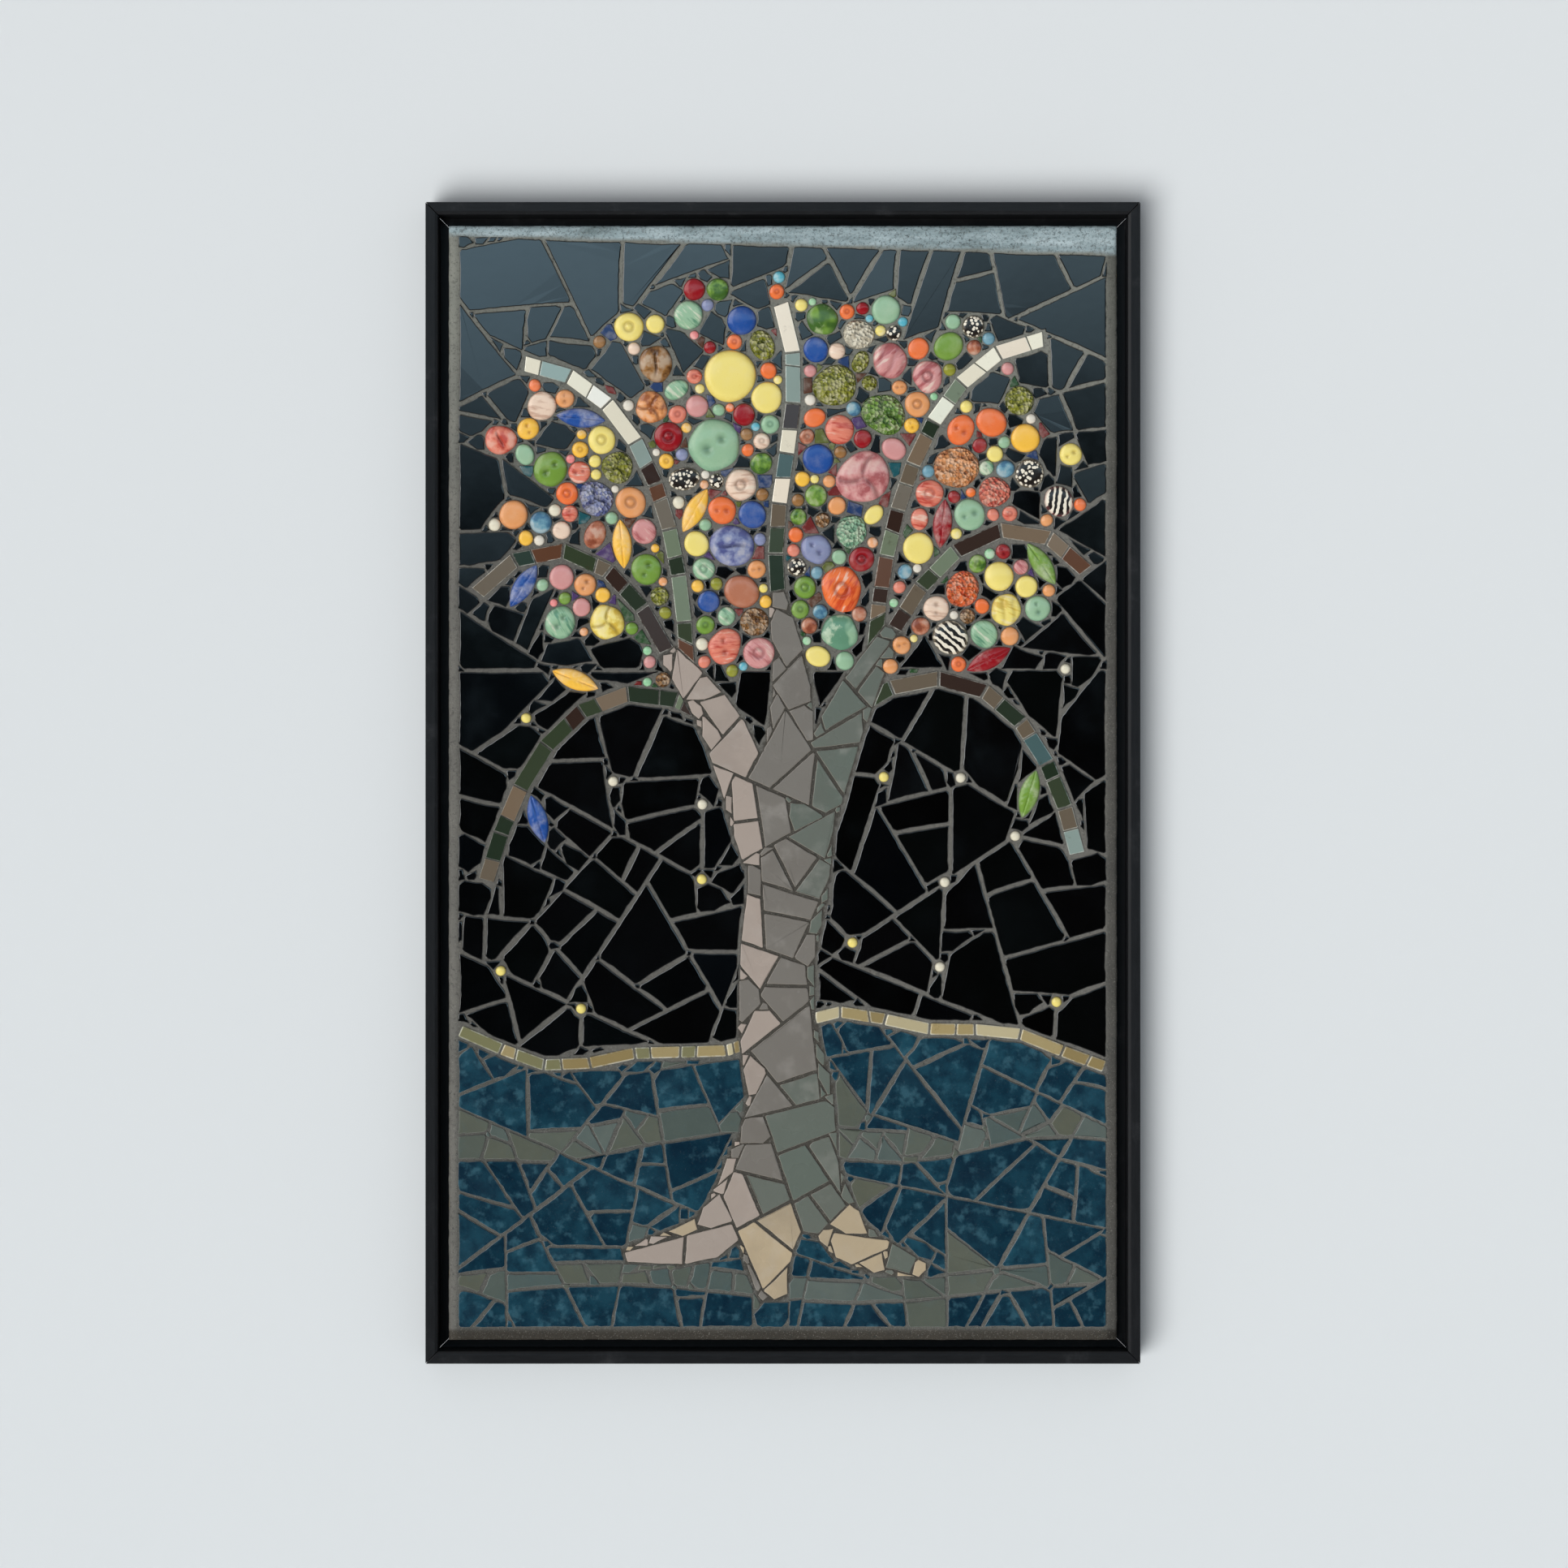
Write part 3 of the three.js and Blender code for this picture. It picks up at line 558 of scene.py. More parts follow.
@dataclass(frozen=True)
class GlazedClay(Finish):
    """Glossy glaze over clay.

    The mark named rim runs from 0 at the middle of a piece to 1 at its edge, and the one named deep is 1 in
    its hollows.
    """

    thick: Colour = srgb(220, 210, 190)
    thin: Colour = srgb(150, 130, 100)
    pattern: Pattern = Pattern.PLAIN
    turn: float = 0.0
    third: Colour = srgb(240, 236, 226)

    @classmethod
    def of(cls, glaze: Glaze, pattern: Pattern, use: str, turn: float) -> "GlazedClay":
        """A glaze laid on in a pattern, with a third colour nearer to cream."""
        third = blended(glaze.thick, (0.9, 0.84, 0.7), pattern.paleness)
        name = f"{glaze.name.lower()}_{pattern.value}_{use}"
        return cls(name, glaze.thick, glaze.thin, pattern, turn, third)

    def laid(self, wires: Wiring, place: Socket) -> tuple[Socket, Socket]:
        """The glaze's colours, and the height of what they leave.

        Args:
            wires: The material's wiring.
            place: The coordinates to lay the pattern on.

        Returns:
            A colour and a height.
        """
        soft = wires.noise(place, 70, 4, 0.6)
        thick, thin, third = self.thick, self.thin, self.third
        if self.pattern is Pattern.POOLED:
            pool = wires.step(wires.noise(place, 48, 2, 0.4), 0.47, 0.56)
            return wires.mix(wires.step(soft, 0.55, 0.68), wires.mix(pool, thick, thin), third), soft
        if self.pattern is Pattern.STREAKED:
            drawn = wires.noise(wires.turned(place, self.turn, (1, 1, 5)), 42, 3, 0.55)
            return wires.ramp(drawn, (0.36, thin), (0.47, thick), (0.56, thick), (0.64, third)), drawn
        if self.pattern is Pattern.CLOUDED:
            cloud = wires.noise(place, 95, 3, 0.5)
            return wires.ramp(cloud, (0.38, thin), (0.5, thick), (0.62, third)), cloud
        if self.pattern is Pattern.CRUSTED:
            cells = wires.cells(place, 330).outputs
            grain = wires.add("ShaderNodeSeparateColor", {0: cells["Color"]}).outputs[0]
            colour = wires.ramp(grain, (0.0, thin), (0.45, thick), (0.8, third))
            return colour, wires.times(cells["Distance"], 8)
        if self.pattern is Pattern.SPECKLED:
            spot = wires.cells(place, 300).outputs["Distance"]
            return wires.mix(wires.step(spot, 0.38, 0.46), third, srgb(34, 28, 24)), spot
        if self.pattern is Pattern.BANDED:
            bend = wires.noise(place, 110, 2, 0.5)
            across = wires.axis(wires.turned(place, self.turn), 2)
            band = wires.step(wires.sums("SINE", wires.more(wires.times(across, 1100), bend, 9)), -0.1, 0.15)
            return wires.mix(band, srgb(30, 26, 24), third), band
        return wires.mix(wires.step(soft, 0.42, 0.75), thick, blended(thick, third, 0.35)), soft

    def paint(self, wires: Wiring, place: Socket) -> dict[str, object]:
        """Glaze that thins at the rim, with pinholes and a wet gloss."""
        colour, height = self.laid(wires, place)
        rim = RIM.place(wires, vector=place, rim=wires.mark("rim"), amount=0.4)
        colour = wires.mix(rim["thin"], colour, self.thin)
        colour = wires.over(colour, blended(self.thin, srgb(30, 18, 10), 0.45), wires.mark("deep"), 0.75)
        pits = wires.step(wires.noise(place, 900, 2, 0.6), 0.66, 0.74)
        rough, rise = (0.26, 0.5 * MM) if self.pattern is Pattern.CRUSTED else (0.16, 0.06 * MM)
        return {
            "Base Color": wires.over(colour, self.thin, pits, 0.3),
            "Roughness": wires.more(0.16, rim["ripple"], rough),
            "Coat Weight": wires.more(0.35, pits, -0.3),
            "Normal": wires.bump(wires.more(height, rim["ripple"], 0.6), rise),
        }


@dataclass(frozen=True)
class SmallGlaze(Finish):
    """The glaze of beads and small bits. The mark named shade is its colour, and rim is 1 at the edge."""

    clear: bool = False

    def paint(self, wires: Wiring, place: Socket) -> dict[str, object]:
        """Glaze or coloured glass with soft clouds and a darker rim."""
        shade = wires.mark("shade", "Color")
        soft = wires.step(wires.noise(place, 130, 3, 0.6), 0.4, 0.7)
        colour = wires.over(shade, srgb(236, 232, 222), soft, 0.4)
        colour = wires.mix(0.35, shade, colour) if self.clear else colour
        rim = RIM.place(wires, vector=place, rim=wires.mark("rim"), amount=0.55)
        darker = wires.mix(1.0, shade, srgb(150, 138, 128), "MULTIPLY")
        return {
            "Base Color": wires.mix(rim["thin"], colour, darker),
            "Roughness": wires.more(0.09, rim["ripple"], 0.14),
            "Normal": wires.bump(rim["ripple"], 0.06 * MM),
        }


# ---- Reading the frame ----


@dataclass
class Facets:
    """Loose triangles read off one node of the frame.

    Attributes:
        corners: The corners of every triangle in metres, as an array of shape (n, 3, 3).
    """

    corners: Array

    @classmethod
    def of(cls, node: str) -> "Facets":
        """All the triangles of a node."""
        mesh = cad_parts[node].data
        places = np.empty(len(mesh.vertices) * 3)
        mesh.vertices.foreach_get("co", places)
        order = np.empty(len(mesh.loops), dtype=int)
        mesh.loops.foreach_get("vertex_index", order)
        return cls(places.reshape(-1, 3)[order].reshape(-1, 3, 3))

    def flat_at(self, level: float) -> "Facets":
        """The triangles that lie flat at one depth."""
        depth = self.corners[:, :, 1]
        return Facets(self.corners[np.abs(depth - level).max(axis=1) < 2 * WELD])

    def beyond(self, level: float) -> "Facets":
        """The triangles that stand wholly nearer the viewer than a depth."""
        return Facets(self.corners[self.corners[:, :, 1].max(axis=1) < level])

    def frontal(self) -> "Facets":
        """The triangles that face the viewer at all."""
        a, b, c = (self.corners[:, i][:, (0, 2)] for i in range(3))
        turn = (b[:, 0] - a[:, 0]) * (c[:, 1] - a[:, 1]) - (b[:, 1] - a[:, 1]) * (c[:, 0] - a[:, 0])
        return Facets(self.corners[turn > 1e-10])

    def welded(self) -> tuple[Array, Array]:
        """The distinct corners, and each triangle's three corners by number."""
        keys = np.round(self.corners.reshape(-1, 3) / WELD).astype(np.int64)
        _, first, index = np.unique(keys, axis=0, return_index=True, return_inverse=True)
        return self.corners.reshape(-1, 3)[first], index.reshape(-1, 3)

    def islands(self) -> list["Facets"]:
        """The triangles in groups that hang together."""
        if not len(self.corners):
            return []
        _, faces = self.welded()
        label = np.arange(faces.max() + 1)
        while True:
            lowest = label.copy()
            np.minimum.at(lowest, faces.ravel(), np.repeat(label[faces].min(axis=1), 3))
            lowest = lowest[lowest]
            if (lowest == label).all():
                break
            label = lowest
        group = label[faces[:, 0]]
        return [Facets(self.corners[group == one]) for one in np.unique(group)]

    def outline(self) -> Array:
        """The outer edge of a flat island as places (x, z), counter-clockwise to the viewer."""
        places, faces = self.welded()
        edges = {(int(f[i]), int(f[(i + 1) % 3])) for f in faces for i in range(3)}
        ahead = {a: b for a, b in edges if (b, a) not in edges}
        start = min(ahead)
        loop = [start]
        while ahead[loop[-1]] != start and len(loop) <= len(ahead):
            loop.append(ahead[loop[-1]])
        return without_straights(places[loop][:, (0, 2)])


def without_straights(outline: Array) -> Array:
    """An outline without the points that lie on its straight sides."""
    before, after = outline - np.roll(outline, 1, axis=0), following(outline) - outline
    cross = before[:, 0] * after[:, 1] - before[:, 1] * after[:, 0]
    size = np.linalg.norm(before, axis=1) * np.linalg.norm(after, axis=1) + 1e-12
    return outline[np.abs(cross) / size > 0.02]


# ---- Outlines ----


def following(outline: Array) -> Array:
    """The point after each point of an outline."""
    return np.roll(outline, -1, axis=0)


def sides_of(outline: Array) -> Iterator[tuple[Array, Array]]:
    """The two ends of each side of an outline."""
    return zip(outline, following(outline))


def length_of(step: Array) -> float:
    """The length of a step."""
    return float(np.linalg.norm(step))


def at_depth(outline: Array, depth: float) -> Array:
    """The places (x, z) of an outline as points at a depth."""
    return np.stack([outline[:, 0], np.full(len(outline), depth), outline[:, 1]], axis=1)


def area_of(outline: Array) -> float:
    """The area within an outline, positive when it runs counter-clockwise."""
    after = following(outline)
    return float((outline[:, 0] * after[:, 1] - outline[:, 1] * after[:, 0]).sum() / 2)


def subdivided(outline: Array, spacing: float) -> Array:
    """An outline with points added along its sides."""
    points = []
    for a, b in sides_of(outline):
        count = max(1, round(length_of(b - a) / spacing))
        points.extend(a + (b - a) * i / count for i in range(count))
    return np.array(points)


def normals_of(outline: Array) -> Array:
    """The direction straight out of each side of an outline."""
    side = following(outline) - outline
    side /= np.linalg.norm(side, axis=1, keepdims=True) + 1e-12
    return np.stack([side[:, 1], -side[:, 0]], axis=1)


def outward_of(outline: Array) -> Array:
    """The direction out of an outline at each of its points, longer at sharp corners."""
    normal = normals_of(outline)
    both = normal + np.roll(normal, 1, axis=0)
    length = np.linalg.norm(both, axis=1, keepdims=True) + 1e-9
    return both / length * np.minimum(2 / length, 1.8)


def clipped(outline: Array, outward: Array, reach: float) -> Array:
    """The part of a convex outline whose distance along a direction is under a reach."""
    kept = []
    for a, b in sides_of(outline):
        here, ahead = float(a @ outward) - reach, float(b @ outward) - reach
        if here <= 0:
            kept.append(a)
        if here * ahead < 0:
            kept.append(a + (b - a) * here / (here - ahead))
    return np.array(kept).reshape(-1, 2)


def cut_off(outline: Array, outward: Array, reach: float) -> Array:
    """An outline clipped straight, or the same one where the cut would cross it more than twice."""
    beyond = outline @ outward > reach
    return clipped(outline, outward, reach) if (beyond != np.roll(beyond, 1)).sum() == 2 else outline


def parted(outline: Array, outward: Array, reach: float, joint: float) -> list[Array]:
    """The two sides of a cut with a joint between them, or the whole outline where one would be a sliver.

    Args:
        outline: The outline.
        outward: The direction across the cut.
        reach: The cut's distance along that direction.
        joint: The width of the joint.

    Returns:
        One outline or two.
    """
    sides = [cut_off(outline, outward, reach - joint / 2), cut_off(outline, -outward, -reach - joint / 2)]
    whole = area_of(outline)
    least = max(0.14 * whole, SLIVER)
    if any(len(side) < 3 or not least < area_of(side) < whole - least for side in sides):
        return [outline]
    return sides


SLIVER = 60 * MM * MM


class Lattice:
    """Smooth noise over the panel's face, the same on each run."""

    def __init__(self, seed: int, count: int = 64) -> None:
        """Draw a square of random values."""
        self.values = np.random.default_rng(seed).random((count, count))

    def at(self, x: Array, z: Array, size: float) -> Array:
        """Noise from 0 to 1 with bumps of a given size."""
        u, v = x / size, z / size
        i, j = np.floor(u).astype(int), np.floor(v).astype(int)
        s, t = u - i, v - j
        s, t = s * s * (3 - 2 * s), t * t * (3 - 2 * t)
        low = self.corner(i, j) * (1 - s) + self.corner(i + 1, j) * s
        high = self.corner(i, j + 1) * (1 - s) + self.corner(i + 1, j + 1) * s
        return low * (1 - t) + high * t

    def corner(self, i: Array, j: Array) -> Array:
        """The random values at some corners of the lattice, which repeats."""
        return self.values[i % len(self.values), j % len(self.values)]

    def layered(self, x: Array, z: Array, size: float, layers: int = 3) -> Array:
        """Noise of several sizes, each half the last, around 0.5."""
        total = sum(self.at(x + 7.3 * k, z - 3.1 * k, size / 2**k) / 2**k for k in range(layers))
        return total / sum(1 / 2**k for k in range(layers))


# ---- Meshes ----


@dataclass
class Pile:
    """Gathers the points and faces of one piece, with a mark of each kind at every point."""

    places: list = field(default_factory=list)
    faces: list = field(default_factory=list)
    flat: list = field(default_factory=list)
    marks: dict = field(default_factory=dict)
    count: int = 0

    def add(self, places: Array, faces: Sequence, flat: Sequence[bool], **marks: object) -> None:
        """Add some points and the faces on them.

        Args:
            places: The points in metres, as an array of shape (n, 3).
            faces: For each face, its points by number.
            flat: For each face, whether it is shaded flat.
            marks: A number or a colour for each point, or one for them all.
        """
        self.faces.extend([index + self.count for index in face] for face in faces)
        self.flat.extend(flat)
        self.places.append(places)
        for name, value in marks.items():
            whole = np.asarray(value, dtype=float)
            wide = whole.ndim == 2 or whole.shape == (4,)
            shape = (len(places), 4) if wide else (len(places),)
            self.marks.setdefault(name, []).append(np.broadcast_to(whole, shape))
        self.count += len(places)

    def mesh(self, name: str) -> Mesh:
        """The gathered mesh."""
        made = bpy.data.meshes.new(name)
        made.from_pydata(np.concatenate(self.places).tolist(), [], self.faces)
        made.polygons.foreach_set("use_smooth", [not flat for flat in self.flat])
        for mark, parts in self.marks.items():
            values = np.concatenate(parts)
            wide = values.ndim == 2
            layer = made.attributes.new(mark, "FLOAT_COLOR" if wide else "FLOAT", "POINT")
            layer.data.foreach_set("color" if wide else "value", values.ravel())
        made.update()
        return made

    def piece(self, name: str, finish: Finish, slot: str, *replaced: str) -> None:
        """Put the gathered mesh into the scene as a finished piece."""
        finished(name, self.mesh(name), finish, slot, *replaced)


def placed(name: str, data: bpy.types.ID) -> bpy.types.Object:
    """A new object in the scene."""
    made = bpy.data.objects.new(name, data)
    bpy.context.scene.collection.objects.link(made)
    return made


def finished(name: str, mesh: Mesh, finish: Finish, slot: str, *replaced: str) -> None:
    """Put a mesh into the scene as a piece of the object.

    Args:
        name: The piece's name.
        mesh: Its mesh, already in its place.
        finish: Its finish.
        slot: The record's slot that the finish belongs to. It is not used.
        replaced: The nodes that the piece stands for.
    """
    piece = placed(name, mesh)
    piece.data.materials.clear()
    piece.data.materials.append(finish.material())
    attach(piece, "root")
    if replaced:
        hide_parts(*replaced)
    LOG.info("%s: %d faces, %s", name, len(piece.data.polygons), finish.name)


def ring_faces(sides: int, rings: int) -> list[list[int]]:
    """The faces between rings of points, each ring nearer the viewer than the last."""
    faces = []
    for low in range(0, (rings - 1) * sides, sides):
        for i in range(sides):
            j = (i + 1) % sides
            faces.append([low + i, low + j, low + sides + j, low + sides + i])
    return faces


def stack_faces(sides: int, rings: int) -> list[list[int]]:
    """The faces of a closed stack of rings: round its sides, over its last ring, and under its first."""
    last = (rings - 1) * sides
    return [*ring_faces(sides, rings), [last + i for i in range(sides)], [*reversed(range(sides))]]


def raised_plate(outline: Array, levels: Sequence[tuple[float, float]]) -> tuple[Array, list, list]:
    """A plate that steps in as it rises.

    Args:
        outline: Its outline at the foot, as places (x, z).
        levels: The depth of each ring of points, and how far it is moved in.

    Returns:
        The points, the faces, and whether each face is flat.
    """
    outward = outward_of(outline)
    rings = [at_depth(outline - outward * inwards, depth) for depth, inwards in levels]
    faces = stack_faces(len(outline), len(levels))
    return np.concatenate(rings), faces, [False] * (len(faces) - 2) + [True, True]


# ---- The tray frame, the board and what they hang by ----


def frame_edges() -> tuple[float, float, float, float]:
    """Where the tray frame's left, right, bottom and top edges lie."""
    left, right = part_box("frame_left")[0].x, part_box("frame_right")[1].x
    return left, right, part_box("frame_bottom")[0].z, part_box("frame_top")[1].z


@dataclass
class Carcass:
    """The timber that carries the panel: four mitred rails, the board and the cleat, with their screws."""

    arris: float = 0.5 * MM
    sharp: float = 20
    screw_gap: float = 0.16
    screw_inset: float = 19 * MM
    screw_size: float = 4.2 * MM
    cleat_inset: float = 0.04
    cleat_rise: float = 6 * MM

    def softened(self, node: str) -> Mesh:
        """A node's solid as clean faces with slightly rounded edges."""
        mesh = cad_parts[node].data.copy()
        mesh.materials.clear()
        shape = bmesh.new()
        shape.from_mesh(mesh)
        bmesh.ops.remove_doubles(shape, verts=shape.verts, dist=WELD)
        bmesh.ops.dissolve_limit(shape, angle_limit=0.01, verts=shape.verts, edges=shape.edges)
        shape.to_mesh(mesh)
        shape.free()
        mesh.attributes.new("painted", "FLOAT", "POINT")
        return settled(placed(node, mesh), self.arris, self.sharp)

    def build(self) -> None:
        """Make and dress every piece."""
        for side, along in (("top", "X"), ("bottom", "X"), ("left", "Z"), ("right", "Z")):
            paint = SatinPaint(f"satin_black_{along}", along=along)
            node = f"frame_{side}"
            finished(f"rail_{side}", self.softened(node), paint, "black_satin_paint", node)
        self.board()
        pine = Wood("planed_pine", srgb(222, 190, 140), srgb(190, 146, 92))
        finished("french_cleat", self.softened("hanging_cleat"), pine, "pine", "hanging_cleat")
        self.screws()

    def board(self) -> None:
        """The plywood board, with its edges painted black."""
        mesh = self.softened("backing_board")
        low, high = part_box("backing_board")
        painted = mesh.attributes["painted"].data
        for vertex in mesh.vertices:
            x, _, z = vertex.co
            inset = min(x - low.x, high.x - x, z - low.z, high.z - z)
            painted[vertex.index].value = float(inset < 2 * WELD)
        ply = Wood("birch_ply", srgb(226, 206, 170), srgb(204, 178, 136), along="Z")
        finished("plywood_board", mesh, ply, "birch_plywood", "backing_board")

    def screws(self) -> None:
        """Screws through the rails' ledges into the board, and through the cleat."""
        left, right, bottom, top = frame_edges()
        inset = self.screw_inset
        count = round((top - bottom) / self.screw_gap)
        rows = np.linspace(bottom + 3 * inset, top - 3 * inset, count)
        places = [(x, z) for x in (left + inset, right - inset) for z in rows]
        columns = np.linspace(left + 4 * inset, right - 4 * inset, 4)
        places += [(x, z) for z in (bottom + inset, top - inset) for x in columns]
        low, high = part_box("hanging_cleat")
        level = (low.z + high.z) / 2 + self.cleat_rise
        places += [(x, level) for x in np.linspace(low.x + self.cleat_inset, high.x - self.cleat_inset, 5)]
        count = len(places)
        sunk = [(x, -0.1 * MM, z) for x, z in places]
        inputs = (sunk, [self.screw_size] * count, [srgb(190, 190, 190)] * count, cross_head(), Zinc("zinc"))
        finished("wood_screws", STAMPS.set_out(*inputs, seed=5, lean=0.02), Zinc("zinc"), "pine")


def cross_head() -> Mesh:
    """A screw's countersunk head of radius 1 with a cross recess, facing away from the panel's face."""
    arm, reach = 0.14, 0.52
    cross = []
    for turn in np.arange(4) * math.pi / 2:
        cos, sin = math.cos(turn), math.sin(turn)
        corners = ((reach, -arm), (reach, arm), (arm, arm))
        cross += [(x * cos - y * sin, x * sin + y * cos) for x, y in corners]
    angles = [math.atan2(y, x) for x, y in cross]
    rim = [(math.cos(a), math.sin(a)) for a in angles]
    rings = [(rim, 1.0, -0.12), (rim, 1.0, 0.02), (rim, 0.93, 0.09), (cross, 1.0, 0.09), (cross, 0.8, -0.3)]
    # The head faces +Y here, so its rings run clockwise to the viewer.
    places = [(-x * size, depth, y * size) for ring, size, depth in rings for x, y in ring]
    faces = stack_faces(len(cross), len(rings))
    pile = Pile()
    pile.add(np.array(places), faces, [True] * len(faces))
    return pile.mesh("cross_head")


def settled(maker: bpy.types.Object, arris: float = 0.0, sharp: float = 0.0) -> Mesh:
    """The mesh that an object's modifiers give, after which the object is removed.

    Args:
        maker: The object.
        arris: The width of the bevel that is cut on its sharp edges, or 0 for none.
        sharp: The least angle of a sharp edge, in degrees.

    Returns:
        The mesh.
    """
    if arris:
        bevel = maker.modifiers.new("arris", "BEVEL")
        bevel.width, bevel.segments = arris, 2
        bevel.limit_method, bevel.angle_limit = "ANGLE", math.radians(sharp)
    bpy.context.view_layer.update()
    graph = bpy.context.evaluated_depsgraph_get()
    mesh = bpy.data.meshes.new_from_object(maker.evaluated_get(graph))
    mesh.name = maker.name
    bpy.data.objects.remove(maker)
    return mesh


# ---- Geometry Nodes ----


@dataclass(frozen=True)
class Sockets:
    """One Geometry Nodes tree with named inputs, run on a mesh and settled into a plain one."""

    name: str
    takes: dict[str, str]

    def tree(self) -> bpy.types.NodeTree:
        """The tree, made on first use."""
        made = bpy.data.node_groups.get(self.name)
        if made:
            return made
        made = bpy.data.node_groups.new(self.name, "GeometryNodeTree")
        made.is_modifier = True
        for name, kind in {"Places": "Geometry", **self.takes, "Finish": "Material"}.items():
            made.interface.new_socket(name, in_out="INPUT", socket_type=f"NodeSocket{kind}")
        made.interface.new_socket("Pieces", in_out="OUTPUT", socket_type="NodeSocketGeometry")
        wires = Wiring(made)
        given = wires.add("NodeGroupInput").outputs
        realized = wires.add("GeometryNodeRealizeInstances", {0: self.wire(wires, given)}).outputs[0]
        dressed = wires.add("GeometryNodeSetMaterial", {"Geometry": realized, "Material": given["Finish"]})
        wires.add("NodeGroupOutput", {0: dressed.outputs[0]})
        return made

    def wire(self, wires: Wiring, given: bpy.types.bpy_prop_collection) -> Socket:
        """The tree's own nodes, from its inputs to the geometry that they make."""
        raise NotImplementedError

    def run(self, mesh: Mesh, arris: float = 0.0, **inputs: object) -> Mesh:
        """Run the tree on a mesh.

        Args:
            mesh: What goes into the tree.
            arris: The width of the bevel cut on the result's sharp edges.
            inputs: A value for each of the tree's inputs.

        Returns:
            The settled mesh.
        """
        maker = placed(self.name, mesh)
        modifier = maker.modifiers.new(self.name, "NODES")
        modifier.node_group = self.tree()
        for item in modifier.node_group.interface.items_tree:
            if item.in_out == "INPUT" and item.name in inputs:
                modifier[item.identifier] = inputs[item.name]
        return settled(maker, arris, 50)


class StampTree(Sockets):
    """Sets one stamp on every point, at the point's own size, turned and leant by chance."""

    def wire(self, wires: Wiring, given: bpy.types.bpy_prop_collection) -> Socket:
        """Instances of the stamp on the points."""
        stamp = wires.add("GeometryNodeObjectInfo", {"Object": given["Stamp"]}).outputs["Geometry"]
        lean = given["Lean"]
        less = wires.times(lean, -1.0)
        low, high = wires.vector(less, 0.0, less), wires.vector(lean, math.tau, lean)
        sockets = {0: low, 1: high, "Seed": given["Seed"]}
        turn = wires.add("FunctionNodeRandomValue", sockets, data_type="FLOAT_VECTOR").outputs[0]
        size = wires.kept("size")
        sockets = {"Points": given["Places"], "Instance": stamp, "Rotation": turn, "Scale": size}
        return wires.add("GeometryNodeInstanceOnPoints", sockets).outputs[0]

    def set_out(
        self,
        places: Sequence[Sequence[float]],
        sizes: Sequence[float],
        shades: Sequence[Colour],
        stamp: Mesh,
        finish: Finish,
        seed: int,
        lean: float,
    ) -> Mesh:
        """Set the stamp on places.

        Args:
            places: Where each stamp goes.
            sizes: The radius of each.
            shades: The colour of each.
            stamp: A mesh of radius 1 at the origin.
            finish: The finish of them all.
            seed: What the chance starts from.
            lean: How far a stamp may lean, in radians.

        Returns:
            One mesh of all the stamps.
        """
        points = bpy.data.meshes.new("places")
        points.from_pydata([tuple(place) for place in places], [], [])
        points.attributes.new("size", "FLOAT", "POINT").data.foreach_set("value", sizes)
        shade = points.attributes.new("shade", "FLOAT_COLOR", "POINT")
        shade.data.foreach_set("color", np.array(shades).ravel())
        block = placed("stamp", stamp)
        mesh = self.run(points, Stamp=block, Lean=lean, Seed=seed, Finish=finish.material())
        bpy.data.objects.remove(block)
        return mesh


STAMPS = StampTree("set_stamps", {"Stamp": "Object", "Lean": "Float", "Seed": "Int"})


class PlateTree(Sockets):
    """Grows a plate from each flat outline, and leans each one a little by chance."""

    def wire(self, wires: Wiring, given: bpy.types.bpy_prop_collection) -> Socket:
        """Extruded outlines with their backs closed, leant about their own middles."""
        sockets = {"Mesh": given["Places"], "Offset Scale": given["Height"], "Individual": True}
        grown = wires.add("GeometryNodeExtrudeMesh", sockets, mode="FACES")
        backs = wires.add("GeometryNodeFlipFaces", {0: given["Places"]}).outputs[0]
        whole = wires.add("GeometryNodeJoinGeometry", {0: grown.outputs[0]})
        wires.tree.links.new(backs, whole.inputs[0])
        closed = wires.add("GeometryNodeMergeByDistance", {"Geometry": whole.outputs[0], "Distance": WELD})
        number, less = wires.kept("number", "INT"), wires.times(given["Lean"], -1.0)
        place = wires.add("GeometryNodeInputPosition").outputs[0]
        shifts = []
        for axis, middle, seed in ((0, "middle_x", 11), (2, "middle_z", 12)):
            sockets = {2: less, 3: given["Lean"], "ID": number, "Seed": seed}
            lean = wires.add("FunctionNodeRandomValue", sockets, data_type="FLOAT").outputs[1]
            shifts.append(wires.times(wires.minus(wires.axis(place, axis), wires.kept(middle)), lean))
        sockets = {"Geometry": closed.outputs[0], "Offset": wires.vector(0.0, wires.plus(*shifts), 0.0)}
        return wires.add("GeometryNodeSetPosition", sockets).outputs[0]


PLATES = PlateTree("grow_plates", {"Height": "Float", "Lean": "Float"})


# ---- The mortar, and what room is left on it ----


class Kind(Enum):
    """The parts of the bed, by the tile that belongs there."""

    RIM = 0
    BLACK = 1
    BLUE = 2
    TREE = 3

    @property
    def shade(self) -> float:
        """How pale its mortar is."""
        return (0.79, 0.68, 0.58, 0.3)[self.value]

    @property
    def tones(self) -> tuple[float, float, float]:
        """The tint of its mortar."""
        return ((1.03, 1.02, 0.88), (1, 1, 0.99), (0.97, 1.0, 1.0), (1.05, 1, 0.94))[self.value]


